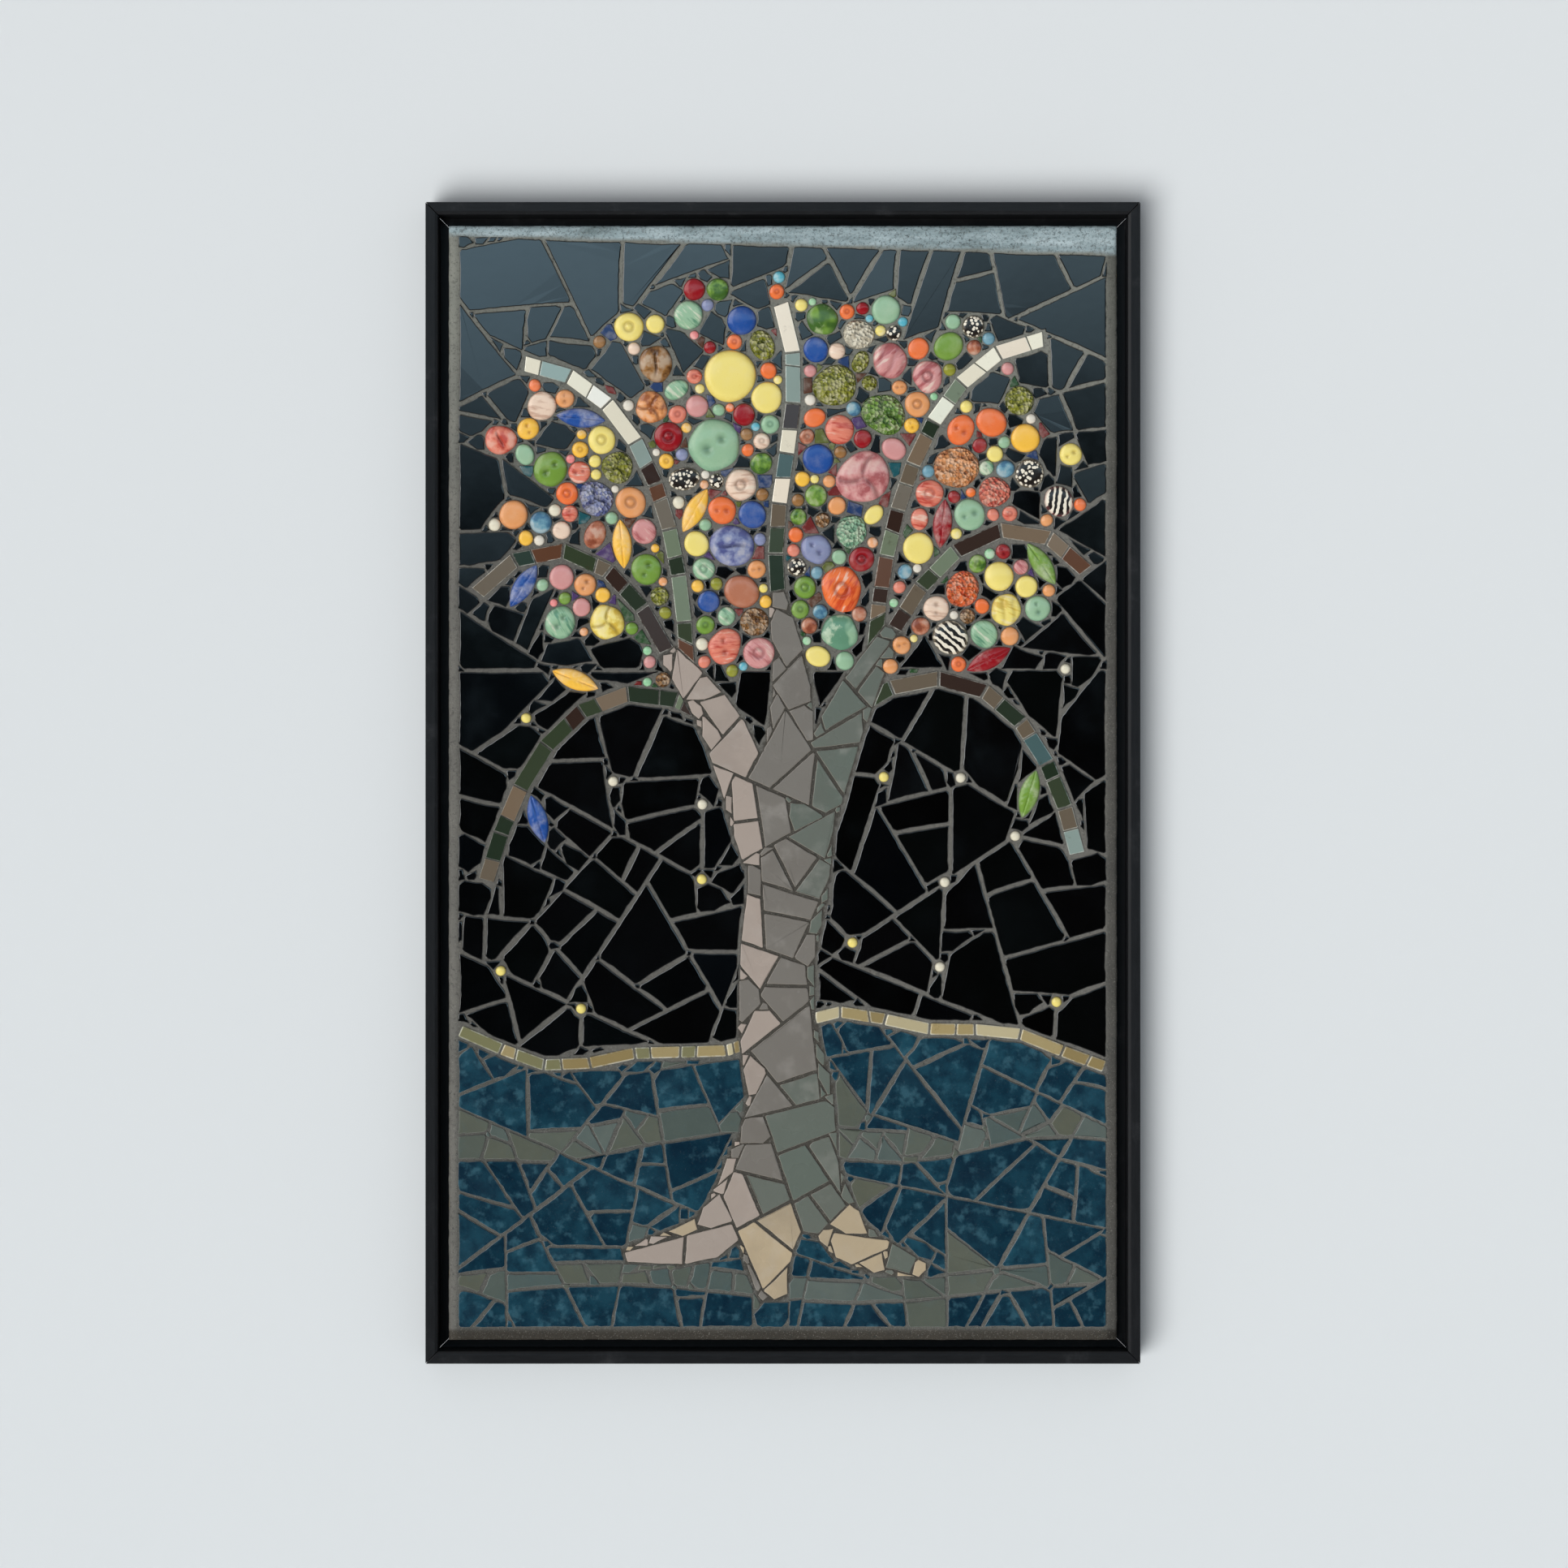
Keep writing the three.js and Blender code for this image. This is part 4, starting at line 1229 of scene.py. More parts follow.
@dataclass
class Bed:
    """The panel's face on a grid of square cells, with what stands on each."""

    cell: float = 1 * MM
    reach: float = 26 * MM

    def __post_init__(self) -> None:
        """Lay out the grid, and mark what the frame's nodes cover."""
        self.columns, self.rows = round((RIGHT - LEFT) / self.cell), round((TOP - BOTTOM) / self.cell)
        self.x = LEFT + (np.arange(self.columns) + 0.5) * self.cell
        self.z = BOTTOM + (np.arange(self.rows) + 0.5) * self.cell
        self.taken = np.zeros((self.rows, self.columns), dtype=bool)
        self.kind = np.zeros((self.rows, self.columns), dtype=int)
        self.room = np.zeros((self.rows, self.columns))
        grounds = {"black_field_tiles": Kind.BLACK, "blue_ground_tiles": Kind.BLUE, "tree_tiles": Kind.TREE}
        for node, kind in grounds.items():
            front = Facets.of(node).frontal()
            self.mark(self.kind, front, kind.value)
            self.mark(self.taken, front.beyond(TILE_FACE - 0.3 * MM), True)
        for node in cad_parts:
            if node.startswith(("branch_", "gold_", "fruit_", "leaf_")):
                self.mark(self.taken, Facets.of(node).frontal(), True)
        share = (self.x - LEFT) / (RIGHT - LEFT)
        self.top = TOP - MARGIN["top_left"] - (MARGIN["top_right"] - MARGIN["top_left"]) * share
        self.taken |= (self.x < LEFT + MARGIN["left"]) | (self.x > RIGHT - MARGIN["right"])
        self.taken |= (self.z < BOTTOM + MARGIN["bottom"])[:, None] | (self.z[:, None] > self.top)

    def window(self, middle: Array, reach: float) -> tuple[slice, slice]:
        """The rows and columns within a reach of a place."""
        column, row = (middle[0] - LEFT) / self.cell, (middle[1] - BOTTOM) / self.cell
        span = reach / self.cell + 1
        rows = slice(max(0, int(row - span)), min(self.rows, int(row + span) + 1))
        return rows, slice(max(0, int(column - span)), min(self.columns, int(column + span) + 1))

    def around(self, outline: Array, reach: float = 0.0) -> tuple[slice, slice]:
        """The rows and columns within a reach of an outline."""
        middle = outline.mean(axis=0)
        return self.window(middle, float(np.abs(outline - middle).max()) + reach)

    def grid(self, where: tuple[slice, slice]) -> tuple[Array, Array]:
        """Where a window's cells lie: x in one row, and z in one column."""
        return self.x[where[1]][None, :], self.z[where[0]][:, None]

    def depth_in(self, outline: Array, where: tuple[slice, slice]) -> Array:
        """How far outside a convex outline the cells of a window lie, below 0 inside."""
        x, z = self.grid(where)
        out = np.full((z.size, x.size), -1.0)
        for a, n in zip(outline, normals_of(outline)):
            np.maximum(out, (x - a[0]) * n[0] + (z - a[1]) * n[1], out=out)
        return out

    def away_from(self, middle: Array, where: tuple[slice, slice]) -> Array:
        """How far from a place the cells of a window lie."""
        x, z = self.grid(where)
        return np.hypot(x - middle[0], z - middle[1])

    def mark(self, layer: Array, facets: Facets, value: object) -> None:
        """Set a value on the cells under some triangles."""
        for triangle in facets.corners[:, :, (0, 2)]:
            where = self.around(triangle)
            layer[where][self.depth_in(triangle, where) < 0.3 * self.cell] = value

    def cover(self, outlines: Sequence[Array]) -> None:
        """Set large tiles down, whatever their outlines, and measure the room that is left."""
        for outline in outlines:
            where = self.around(outline)
            x, z = self.grid(where)
            inside = np.zeros((z.size, x.size), dtype=bool)
            for a, b in sides_of(outline):
                if a[1] != b[1]:
                    crossed = (a[1] > z) != (b[1] > z)
                    inside ^= crossed & (x < a[0] + (z - a[1]) * (b[0] - a[0]) / (b[1] - a[1]))
            self.taken[where] |= inside
        self.measure()

    def measure(self) -> None:
        """Find the room at each cell: how far the nearest taken one is, up to the bed's reach."""
        steps = round(self.reach / self.cell)
        up = np.where(self.taken, 0, steps).astype(float)
        for row in range(1, self.rows):
            up[row] = np.minimum(up[row], up[row - 1] + 1)
        for row in range(self.rows - 2, -1, -1):
            up[row] = np.minimum(up[row], up[row + 1] + 1)
        squares = up**2
        best = squares.copy()
        for step in range(1, steps):
            np.minimum(best[:, step:], squares[:, :-step] + step**2, out=best[:, step:])
            np.minimum(best[:, :-step], squares[:, step:] + step**2, out=best[:, :-step])
        self.room = np.sqrt(best) * self.cell

    def widest(self) -> tuple[Array, float]:
        """The free place with the most room around it, and that room."""
        row, column = divmod(int(self.room.argmax()), self.columns)
        return np.array([self.x[column], self.z[row]]), float(self.room[row, column])

    def kind_at(self, place: Array) -> Kind:
        """Which part of the bed a place is on."""
        row, column = (place[1] - BOTTOM) / self.cell, (place[0] - LEFT) / self.cell
        return Kind(int(self.kind[min(int(row), self.rows - 1), min(int(column), self.columns - 1)]))

    def fill(self, where: tuple[slice, slice], away: Array) -> None:
        """Set a piece down, from how far outside it the cells of a window lie."""
        self.taken[where] |= away < 0
        self.room[where] = np.minimum(self.room[where], np.maximum(away, 0))

    def fill_disc(self, middle: Array, radius: float) -> None:
        """Set a round piece down."""
        where = self.window(middle, radius + self.reach)
        self.fill(where, self.away_from(middle, where) - radius)

    def fill_outline(self, outline: Array) -> None:
        """Set a convex offcut down."""
        where = self.around(outline, self.reach)
        self.fill(where, self.depth_in(outline, where))

    def close(self, middle: Array, radius: float) -> None:
        """Leave the mortar bare round a place."""
        where = self.window(middle, radius)
        self.room[where][self.away_from(middle, where) < radius] = 0

    def offcut(self, middle: Array, joint: float, most: float, turn: float) -> Array:
        """The convex offcut that a mosaicist would nip for a gap.

        Args:
            middle: A free place in the gap.
            joint: The width of mortar to leave round the offcut.
            most: The farthest that a corner may lie from the middle.
            turn: The turn of the outline that the offcut is nipped from.

        Returns:
            The offcut's outline, counter-clockwise.
        """
        angles = turn + np.arange(5) * math.tau / 5
        outline = middle + most * np.stack([np.cos(angles), np.sin(angles)], axis=1)
        where = self.window(middle, most + joint)
        rows, columns = np.nonzero(self.taken[where] | (self.kind[where] != self.kind_at(middle).value))
        walls = np.stack([self.x[where[1]][columns], self.z[where[0]][rows]], axis=1)
        walls = walls[np.argsort(np.linalg.norm(walls - middle, axis=1), kind="stable")]
        while len(walls) and len(outline) > 2:
            away = walls[0] - middle
            size = length_of(away) + 1e-9
            outward = away / size
            reach = float(middle @ outward) + size
            outline = clipped(outline, outward, reach - joint)
            walls = walls[walls @ outward < reach - 0.5 * self.cell]
            if len(walls) and len(outline) > 2:
                farthest = float(np.linalg.norm(outline - middle, axis=1).max()) + joint
                walls = walls[np.linalg.norm(walls - middle, axis=1) < farthest]
        return outline


@dataclass
class MortarBed:
    """The sanded mortar that everything is set in, trowelled rough along the panel's rim.

    Attributes:
        spacing: The distance between its points.
        relief: How rough it is.
        rim_relief: How rough its bare rim is.
        ragged: How far its edges stand in.
        seed: What its chance starts from.
        rim_run: How far the rim takes to reach its full roughness.
        lift: How far it lies back from the joints' depth.
        turned_in: How far its edges lie back.
    """

    spacing: float = 2.8 * MM
    relief: float = 0.3 * MM
    rim_relief: float = 0.9 * MM
    ragged: float = 0.9 * MM
    seed: int = 21
    rim_run: float = 4 * MM
    lift: float = 0.2 * MM
    turned_in: float = 1.2 * MM

    def build(self, bed: Bed) -> None:
        """Make the slab, closed on all sides."""
        lattice = Lattice(self.seed)
        columns = round((RIGHT - LEFT) / self.spacing) + 1
        rows = round((TOP - BOTTOM) / self.spacing) + 1
        x, z = np.meshgrid(np.linspace(LEFT, RIGHT, columns), np.linspace(BOTTOM, TOP, rows))
        top = np.interp(x, bed.x, bed.top)
        ledge = np.clip((z - top) / (2 * MM) + 0.5 * (lattice.at(x, z, 3 * MM) - 0.4), 0, 1)
        front = self.front(x, z, top, lattice)
        number = np.arange(rows * columns).reshape(rows, columns)
        corners = [number[:-1, :-1], number[:-1, 1:], number[1:, 1:], number[1:, :-1]]
        faces = np.stack([corner.ravel() for corner in corners], axis=1).tolist()
        loop = [*number[0, :-1], *number[:-1, -1], *number[-1, :0:-1], *number[:0:-1, 0]]
        back = front[loop] * (1, 0, 1) + (0, MORTAR_BACK, 0)
        first = len(front)
        for i, here in enumerate(loop):
            j = (i + 1) % len(loop)
            faces.append([int(here), first + i, first + j, int(loop[j])])
        faces.append([first + i for i in reversed(range(len(loop)))])
        shade = self.shade(x, z, bed)
        ledge = np.append(ledge.ravel(), np.zeros(len(loop)))
        marks = {"shade": np.concatenate([shade, shade[loop]]), "ledge": ledge}
        pile = Pile()
        pile.add(np.concatenate([front, back]), faces, [False] * (len(faces) - 1) + [True], **marks)
        pile.piece("mortar_bed", Mortar("sanded_mortar"), "black_glazed_tile", "black_field_tiles")

    def front(self, x: Array, z: Array, top: Array, lattice: Lattice) -> Array:
        """The points of its face.

        Args:
            x: Where each point lies across the panel.
            z: Where each point lies up the panel.
            top: Where the tiles end above each point.
            lattice: The noise that roughens it.

        Returns:
            The points in metres, as an array of shape (n, 3).
        """
        sides = np.minimum(x - LEFT - MARGIN["left"], RIGHT - MARGIN["right"] - x)
        inside = np.minimum(sides, np.minimum(z - BOTTOM - MARGIN["bottom"], top - z))
        rim = np.clip(0.3 - inside / self.rim_run, 0, 1)
        small = lattice.layered(x, z, 9 * MM) - 0.5
        long = lattice.layered(x * 0.3, z, 7 * MM) - 0.5
        depth = GROUT + self.lift - small * 2 * self.relief - (rim * 2 * self.rim_relief) * (long + 0.12)
        depth[[0, -1]] += self.turned_in
        depth[1:-1, [0, -1]] += self.turned_in
        inwards = self.ragged * lattice.layered(x, z, 6 * MM)
        x_in = x - np.sign(x) * np.where(np.abs(x) > RIGHT - WELD, inwards, 0)
        z_in = z - np.where(z > TOP - WELD, inwards, 0) + np.where(z < BOTTOM + WELD, inwards, 0)
        return np.stack([x_in, depth, z_in], axis=-1).reshape(-1, 3)

    def shade(self, x: Array, z: Array, bed: Bed) -> Array:
        """The tone of each point, by its ground, its height and how near it is to a side."""
        row = np.clip(((z - BOTTOM) / bed.cell).astype(int), 0, bed.rows - 1)
        column = np.clip(((x - LEFT) / bed.cell).astype(int), 0, bed.columns - 1)
        table = np.array([[*(kind.shade * tone for tone in kind.tones), 1.0] for kind in Kind])
        shade = table[bed.kind[row, column]].reshape(-1, 4)
        high = np.clip((z + 0.2) / 0.22, 0, 1).reshape(-1, 1)
        low = np.clip((BOTTOM + MARGIN["bottom"] - z) / (3 * MM), 0, 1).reshape(-1, 1)
        shade = shade * (1 + high * (0.42, 0.5, 0.46, 0)) * (1 - low * (0.64, 0.67, 0.7, 0))
        edges = (LEFT + MARGIN["left"], RIGHT - MARGIN["right"])
        places = [edge + step for edge in edges for step in (-MM, MM)]
        shade[:, :3] *= np.interp(x, places, (1.2, 0.88, 1.12, 0.58)).reshape(-1, 1)
        return shade


# ---- Tiles ----


@dataclass(frozen=True)
class Band:
    """A wavy course of smaller tiles laid across a ground."""

    level: float
    half_width: float
    wave: float
    period: float

    def phase(self, x: float) -> float:
        """Where in its wave the course is at a place across. Courses at other levels start elsewhere."""
        return x / self.period + 40 * self.level

    def middle(self, x: float) -> float:
        """The course's height at a place across the panel."""
        return self.level + self.wave * math.sin(self.phase(x))

    def holds(self, place: Array) -> bool:
        """Whether a place lies in the course."""
        return abs(float(place[1]) - self.middle(float(place[0]))) < self.half_width

    def cut(self, outline: Array, joint: float) -> list[Array]:
        """A tile cut along both edges of the course."""
        x = float(outline[:, 0].mean())
        slope = self.wave / self.period * math.cos(self.phase(x))
        across = np.array([-slope, 1.0]) / math.hypot(slope, 1)
        pieces = [outline]
        for edge in (-self.half_width, self.half_width):
            reach = float(across @ (x, self.middle(x) + edge))
            pieces = [side for piece in pieces for side in parted(piece, across, reach, joint)]
        return pieces


@dataclass
class Paving:
    """Tiles of one ground, broken from sheets and chipped along their edges.

    Attributes:
        node: The frame's node that gives the tiles' outlines.
        name: The piece's name.
        slot: Its slot in the record.
        finish: Its finish.
        shade_at: Gives a tile's colour from its middle, and how clouded it is.
        seed: What its chance starts from.
        large: The area above which a tile may be parted.
        parting: The chance that it is.
        nipping: The chance that a tile has lost a corner.
        least_nipped: The area below which none has.
        wander: How far a side may stand in from its place.
        joint: The joint between the parts of a tile.
        rub: How much of a corner may be rubbed off.
        bow: How far a side may be hollowed.
        bands: The courses that cross the ground.
        open_crown: Whether the crown is left free of its tiles.
        grow: How far each tile is let out, for thin joints.
        lean: How far a tile is tipped.
        chip: How deep the chips along its edge are.
        spacing: The distance between the points along its edge.
        pillow: How far its flat face stands in from its edge.
    """

    node: str
    name: str
    slot: str
    finish: CutTile
    shade_at: Callable[[Array, Chance], tuple[Colour, float]]
    seed: int
    large: float = 1400 * MM * MM
    parting: float = 0.2
    nipping: float = 0.35
    wander: float = 0.45 * MM
    joint: float = 2.2 * MM
    rub: float = 2.6 * MM
    bow: float = 1.0 * MM
    bands: tuple[Band, ...] = ()
    open_crown: bool = False
    grow: float = 0.0
    least_nipped: float = 300 * MM * MM
    lean: float = 0.005
    chip: float = 0.26 * MM
    spacing: float = 4 * MM
    pillow: float = 0.8 * MM
    pile: Pile = field(default_factory=Pile)
    outlines: list = field(default_factory=list)

    def __post_init__(self) -> None:
        """Start the ground's own chance, and lay its large tiles."""
        self.chance = np.random.default_rng(self.seed)
        for island in Facets.of(self.node).flat_at(TILE_FACE).islands():
            outline = island.outline()
            if self.open_crown and crown_share(outline.mean(axis=0)) < OPEN_CROWN:
                continue
            for piece in self.broken(outline):
                self.lay(piece, self.spacing)
                self.outlines.append(piece)

    def broken(self, outline: Array) -> list[Array]:
        """The pieces that one tile is broken into."""
        parts, whole = [outline + outward_of(outline) * self.grow], []
        for band in self.bands:
            parts = [piece for part in parts for piece in band.cut(part, self.joint)]
        while parts:
            part = parts.pop()
            small = any(band.holds(part.mean(axis=0)) for band in self.bands)
            least, parting = (0.55 * self.large, 0.85) if small else (self.large, self.parting)
            if area_of(part) > least and self.chance.random() < parting:
                parts += self.cut_across(part)
            else:
                whole.append(self.rubbed(self.worn(part)))
        return whole

    def cut_across(self, outline: Array) -> list[Array]:
        """The two halves of a tile cut roughly across its length."""
        middle = outline.mean(axis=0)
        _, ways = np.linalg.eigh(np.cov((outline - middle).T))
        turn = math.atan2(ways[1, 1], ways[0, 1]) + self.chance.normal(0, 0.35)
        across = np.array([math.cos(turn), math.sin(turn)])
        reach = float(middle @ across) + self.chance.uniform(-0.12, 0.12) * math.sqrt(area_of(outline))
        return parted(outline, across, reach, self.joint * self.chance.uniform(0.7, 1.3))

    def worn(self, outline: Array) -> Array:
        """A tile whose sides stand in by different amounts, and that may have lost a corner."""
        for a, b in sides_of(outline):
            side = b - a
            length = length_of(side)
            if length < 6 * MM:
                continue
            turn = self.chance.normal(0, min(0.03, 0.4 * self.wander / length))
            outward = np.array([side[1], -side[0]]) / length
            outward = np.array([outward[0] - turn * outward[1], outward[1] + turn * outward[0]])
            reach = float((a + b) @ outward) / 2 - self.chance.uniform(0, self.wander)
            outline = cut_off(outline, outward, reach)
        if self.chance.random() < self.nipping and area_of(outline) > self.least_nipped:
            corner = outline[self.chance.integers(len(outline))]
            outward = corner - outline.mean(axis=0)
            outward /= np.linalg.norm(outward)
            outline = cut_off(outline, outward, float(corner @ outward) - self.chance.uniform(1.5, 6) * MM)
        return outline

    def rubbed(self, outline: Array) -> Array:
        """A tile whose corners are rubbed off by different amounts."""
        points = []
        for before, here, after in zip(np.roll(outline, 1, axis=0), outline, following(outline)):
            back, ahead = before - here, after - here
            lengths = length_of(back), length_of(ahead)
            reach = self.chance.uniform(0.2, 1.0) * self.rub
            if back[0] * ahead[1] < back[1] * ahead[0] and min(lengths) > 3 * reach:
                points += [here + back / lengths[0] * reach, here + ahead / lengths[1] * reach]
            else:
                points.append(here)
        return np.array(points)

    def bowed(self, outline: Array, spacing: float) -> Array:
        """An outline with points added along its sides, each side hollowed or swollen a little."""
        points = []
        for a, b in sides_of(outline):
            side = b - a
            length = length_of(side) + 1e-9
            share = np.linspace(0, 1, max(1, round(length / spacing)), endpoint=False)[:, None]
            hollow = self.chance.uniform(-0.35, 1.0) * min(self.bow, 0.05 * length)
            inwards = np.array([-side[1], side[0]]) / length
            points.append(a + side * share + inwards * hollow * 4 * share * (1 - share))
        return np.concatenate(points)

    def lay(self, outline: Array, spacing: float) -> None:
        """Lay one tile on its outline."""
        chance, middle = self.chance, outline.mean(axis=0)
        shade, lively = self.shade_at(middle, chance)
        edge = self.bowed(outline, spacing)
        edge -= outward_of(edge) * np.abs(chance.normal(0, self.chip, (len(edge), 1)))
        levels = [(TILE_ROOT, 0), (GROUT, 0), (TILE_FACE + 0.22 * MM, 0.12 * MM), (TILE_FACE, self.pillow)]
        places, faces, flat = raised_plate(edge, levels)
        tilt = chance.normal(0, self.lean, 2)
        rise = chance.normal(0, 0.12 * MM)
        away = places[:, (0, 2)] - middle
        proud = places[:, 1] < GROUT + WELD
        places[:, 1] += np.where(proud, np.clip(away @ tilt + rise, -MOST_TIP, MOST_TIP), 0)
        rim = np.repeat([1.0, 1.0, 0.95, 0.0], len(edge))
        self.pile.add(places, faces, flat, shade=shade, rim=rim, cut=chance.random() * 10, lively=lively)

    def build(self) -> None:
        """Make the piece."""
        self.pile.piece(self.name, self.finish, self.slot, self.node)


OPEN_CROWN = 0.76
MOST_TIP = 0.35 * MM


COURSES = (Band(-0.715, 0.014, 0.011, 0.05), Band(-0.848, 0.010, 0.008, 0.07))


def black_shade(_: Array, chance: Chance) -> tuple[Colour, float]:
    """Black, now and then a little blue or green, and how clouded it is."""
    tint = shades_of((3, 5, 8), (4, 6, 6), (5, 5, 6))[chance.integers(3)]
    return blended(srgb(1, 1, 1), tint, float(chance.random())), float(chance.random())


def blue_shade(middle: Array, chance: Chance) -> tuple[Colour, float]:
    """Deep watery blue, with courses of plain grey-green, and how clouded it is."""
    if any(band.holds(middle) for band in COURSES) or chance.random() < 0.04:
        base = blended(srgb(74, 90, 89), srgb(100, 111, 107), float(chance.random()))
        return blended(base, srgb(94, 97, 84), float(chance.random())), 0.12
    return blended(srgb(12, 46, 62), srgb(32, 76, 93), float(chance.random())), 1.0


def tree_shade(middle: Array, chance: Chance) -> tuple[Colour, float]:
    """Pinkish beige on the left, taupe in the middle, grey-green to the right and low, cream at the roots."""
    x, z = middle
    across = (x - 0.006 * math.sin((z + 0.4) / 0.06)) / 0.045
    low = np.clip((-0.62 - z) / 0.14, 0, 1)
    beige, taupe, green, cream = shades_of((178, 164, 154), (122, 118, 112), (98, 108, 100), (192, 174, 144))
    where = across + 0.5 * low + chance.normal(0, 0.16)
    shade = beige if where < -0.42 else taupe if where < 0.38 else green
    if z < -0.79 and chance.random() < 0.55:
        shade = cream
    return blended(shade, taupe, float(chance.random()) * 0.25), float(chance.random())


BLACK_TILE = CutTile(
    "night_black_glaze",
    cloud=srgb(7, 8, 10),
    cloudiness=0.5,
    body=srgb(58, 58, 57),
    flecks=0.02,
    rough=0.05,
    rough_range=0.07,
    density=2.0,
)
BLUE_TILE = CutTile(
    "watery_blue_glaze",
    cloud=srgb(6, 30, 48),
    cloudiness=0.8,
    cloud_scale=58,
    bloom=srgb(64, 108, 124),
    pale_cloud_and_sheen=0.5,
    body=srgb(160, 164, 160),
    rough=0.2,
)
# The bark tiles' bloom is a painted sheen: pale patches that stand for soft gloss highlights.
TREE_TILE = CutTile(
    "bark_taupe_glaze",
    cloud=srgb(104, 98, 92),
    cloudiness=0.25,
    cloud_scale=26,
    bloom=srgb(196, 192, 186),
    pale_cloud_and_sheen=0.22,
    body=srgb(176, 166, 154),
    rough=0.24,
    wave=0.06 * MM,
)


# ---- Rows of glass ----


@dataclass
class GlassRow:
    """One row of glass strips, cut again by chance so that their lengths differ."""

    node: str
    name: str
    slot: str
    finish: StripGlass
    shade_at: Callable[[Array, Chance], Colour]
    seed: int
    joint: float = 1.1 * MM
    lean: float = 0.022
    arris: float = 0.7 * MM

    def strips(self, chance: Chance) -> list[Array]:
        """The row's outlines, some of them parted."""
        found = []
        for island in Facets.of(self.node).flat_at(GLASS_FACE).islands():
            outline = island.outline()
            if len(outline) != 4 or chance.random() < 0.35:
                found.append(outline)
                continue
            first = int(np.linalg.norm(following(outline) - outline, axis=1).argmax())
            a, b, c, d = (outline[(first + k) % 4] for k in range(4))
            share, slant = chance.uniform(0.28, 0.72), chance.normal(0, 0.04)
            gap = self.joint / length_of(b - a) / 2
            low = (a + (b - a) * (share - gap), a + (b - a) * (share + gap))
            high = (d + (c - d) * (share + slant - gap), d + (c - d) * (share + slant + gap))
            found += [np.array([a, low[0], high[0], d]), np.array([low[1], b, c, high[1]])]
        return found

    def build(self) -> None:
        """Make the row's strips."""
        chance = np.random.default_rng(self.seed)
        flats = Pile()
        for number, outline in enumerate(self.strips(chance)):
            x, z = outline.mean(axis=0)
            marks = {"shade": self.shade_at(outline.mean(axis=0), chance), "middle_x": x, "middle_z": z}
            faces = [list(range(len(outline)))]
            flats.add(at_depth(outline, TILE_ROOT), faces, [True], **marks, number=number)
        inputs = {"Height": TILE_ROOT - GLASS_FACE, "Lean": self.lean, "Finish": self.finish.material()}
        mesh = PLATES.run(flats.mesh(self.name), self.arris, **inputs)
        finished(self.name, mesh, self.finish, self.slot, self.node)


# Mirror tints. The pale set is a painted reflection of the sky, the deep set a painted reflection of the dark
# room.
PALE_GLASS_PAINTED_SKY = shades_of((255, 244, 224), (252, 248, 236), (250, 244, 222), (240, 238, 218), (150, 170, 164))
DEEP_GLASS_PAINTED_ROOM = shades_of(
    (120, 134, 110), (78, 106, 108), (34, 50, 34), (102, 68, 50),
    (56, 40, 34), (58, 70, 50), (112, 100, 84), (130, 112, 92),
)
GOLD_GLASS = shades_of((180, 162, 116), (156, 138, 94), (132, 132, 96), (212, 200, 162))


def mirror_tint_and_painted_reflection(middle: Array, chance: Chance) -> Colour:
    """Silver and cream high up, and green, teal and brown lower down: tint and painted reflection."""
    # The higher the strip, the likelier a pale tint: a painted reflection of the sky above.
    high = float(np.clip((middle[1] + 0.17) / 0.12, 0.06, 0.97))
    shades = PALE_GLASS_PAINTED_SKY if chance.random() < high else DEEP_GLASS_PAINTED_ROOM
    return blended(shades[chance.integers(len(shades))], srgb(128, 128, 124), 0.08 * float(chance.random()))


def gold_shade(_: Array, chance: Chance) -> Colour:
    """Cream, olive or old gold."""
    shade = GOLD_GLASS[chance.integers(len(GOLD_GLASS))]
    return blended(shade, srgb(150, 140, 110), 0.3 * float(chance.random()))


# ---- Fruit, buttons and beads ----


@dataclass(frozen=True)
class Round:
    """Where a round piece lies, and its size.

    Attributes:
        middle: Its middle, as a place (x, z).
        along: Its longer radius.
        across: Its shorter radius.
        turn: The turn of its longer radius.
        top: The depth of its highest point.
    """

    middle: Array
    along: float
    across: float
    turn: float
    top: float

    @classmethod
    def read(cls, facets: Facets) -> "Round":
        """Fit a round piece to its solid."""
        places, _ = facets.welded()
        edge = places[places[:, 1] > places[:, 1].min() + 0.5 * MM][:, (0, 2)]
        middle = edge.mean(axis=0)
        spread, ways = np.linalg.eigh(np.cov((edge - middle).T, bias=True))
        across, along = np.sqrt(2 * spread)
        turn = math.atan2(ways[1, 1], ways[0, 1])
        return cls(middle, float(along), float(across), turn, float(places[:, 1].min()))


class Form(Enum):
    """The shapes that the potter gives to a round piece."""

    DISC = "disc"
    DOME = "dome"
    DIMPLED = "dimpled"
    PINCHED = "pinched"
    LOBED = "lobed"
    RINGED = "ringed"
    NUBBED = "nubbed"
    RIDGED = "ridged"


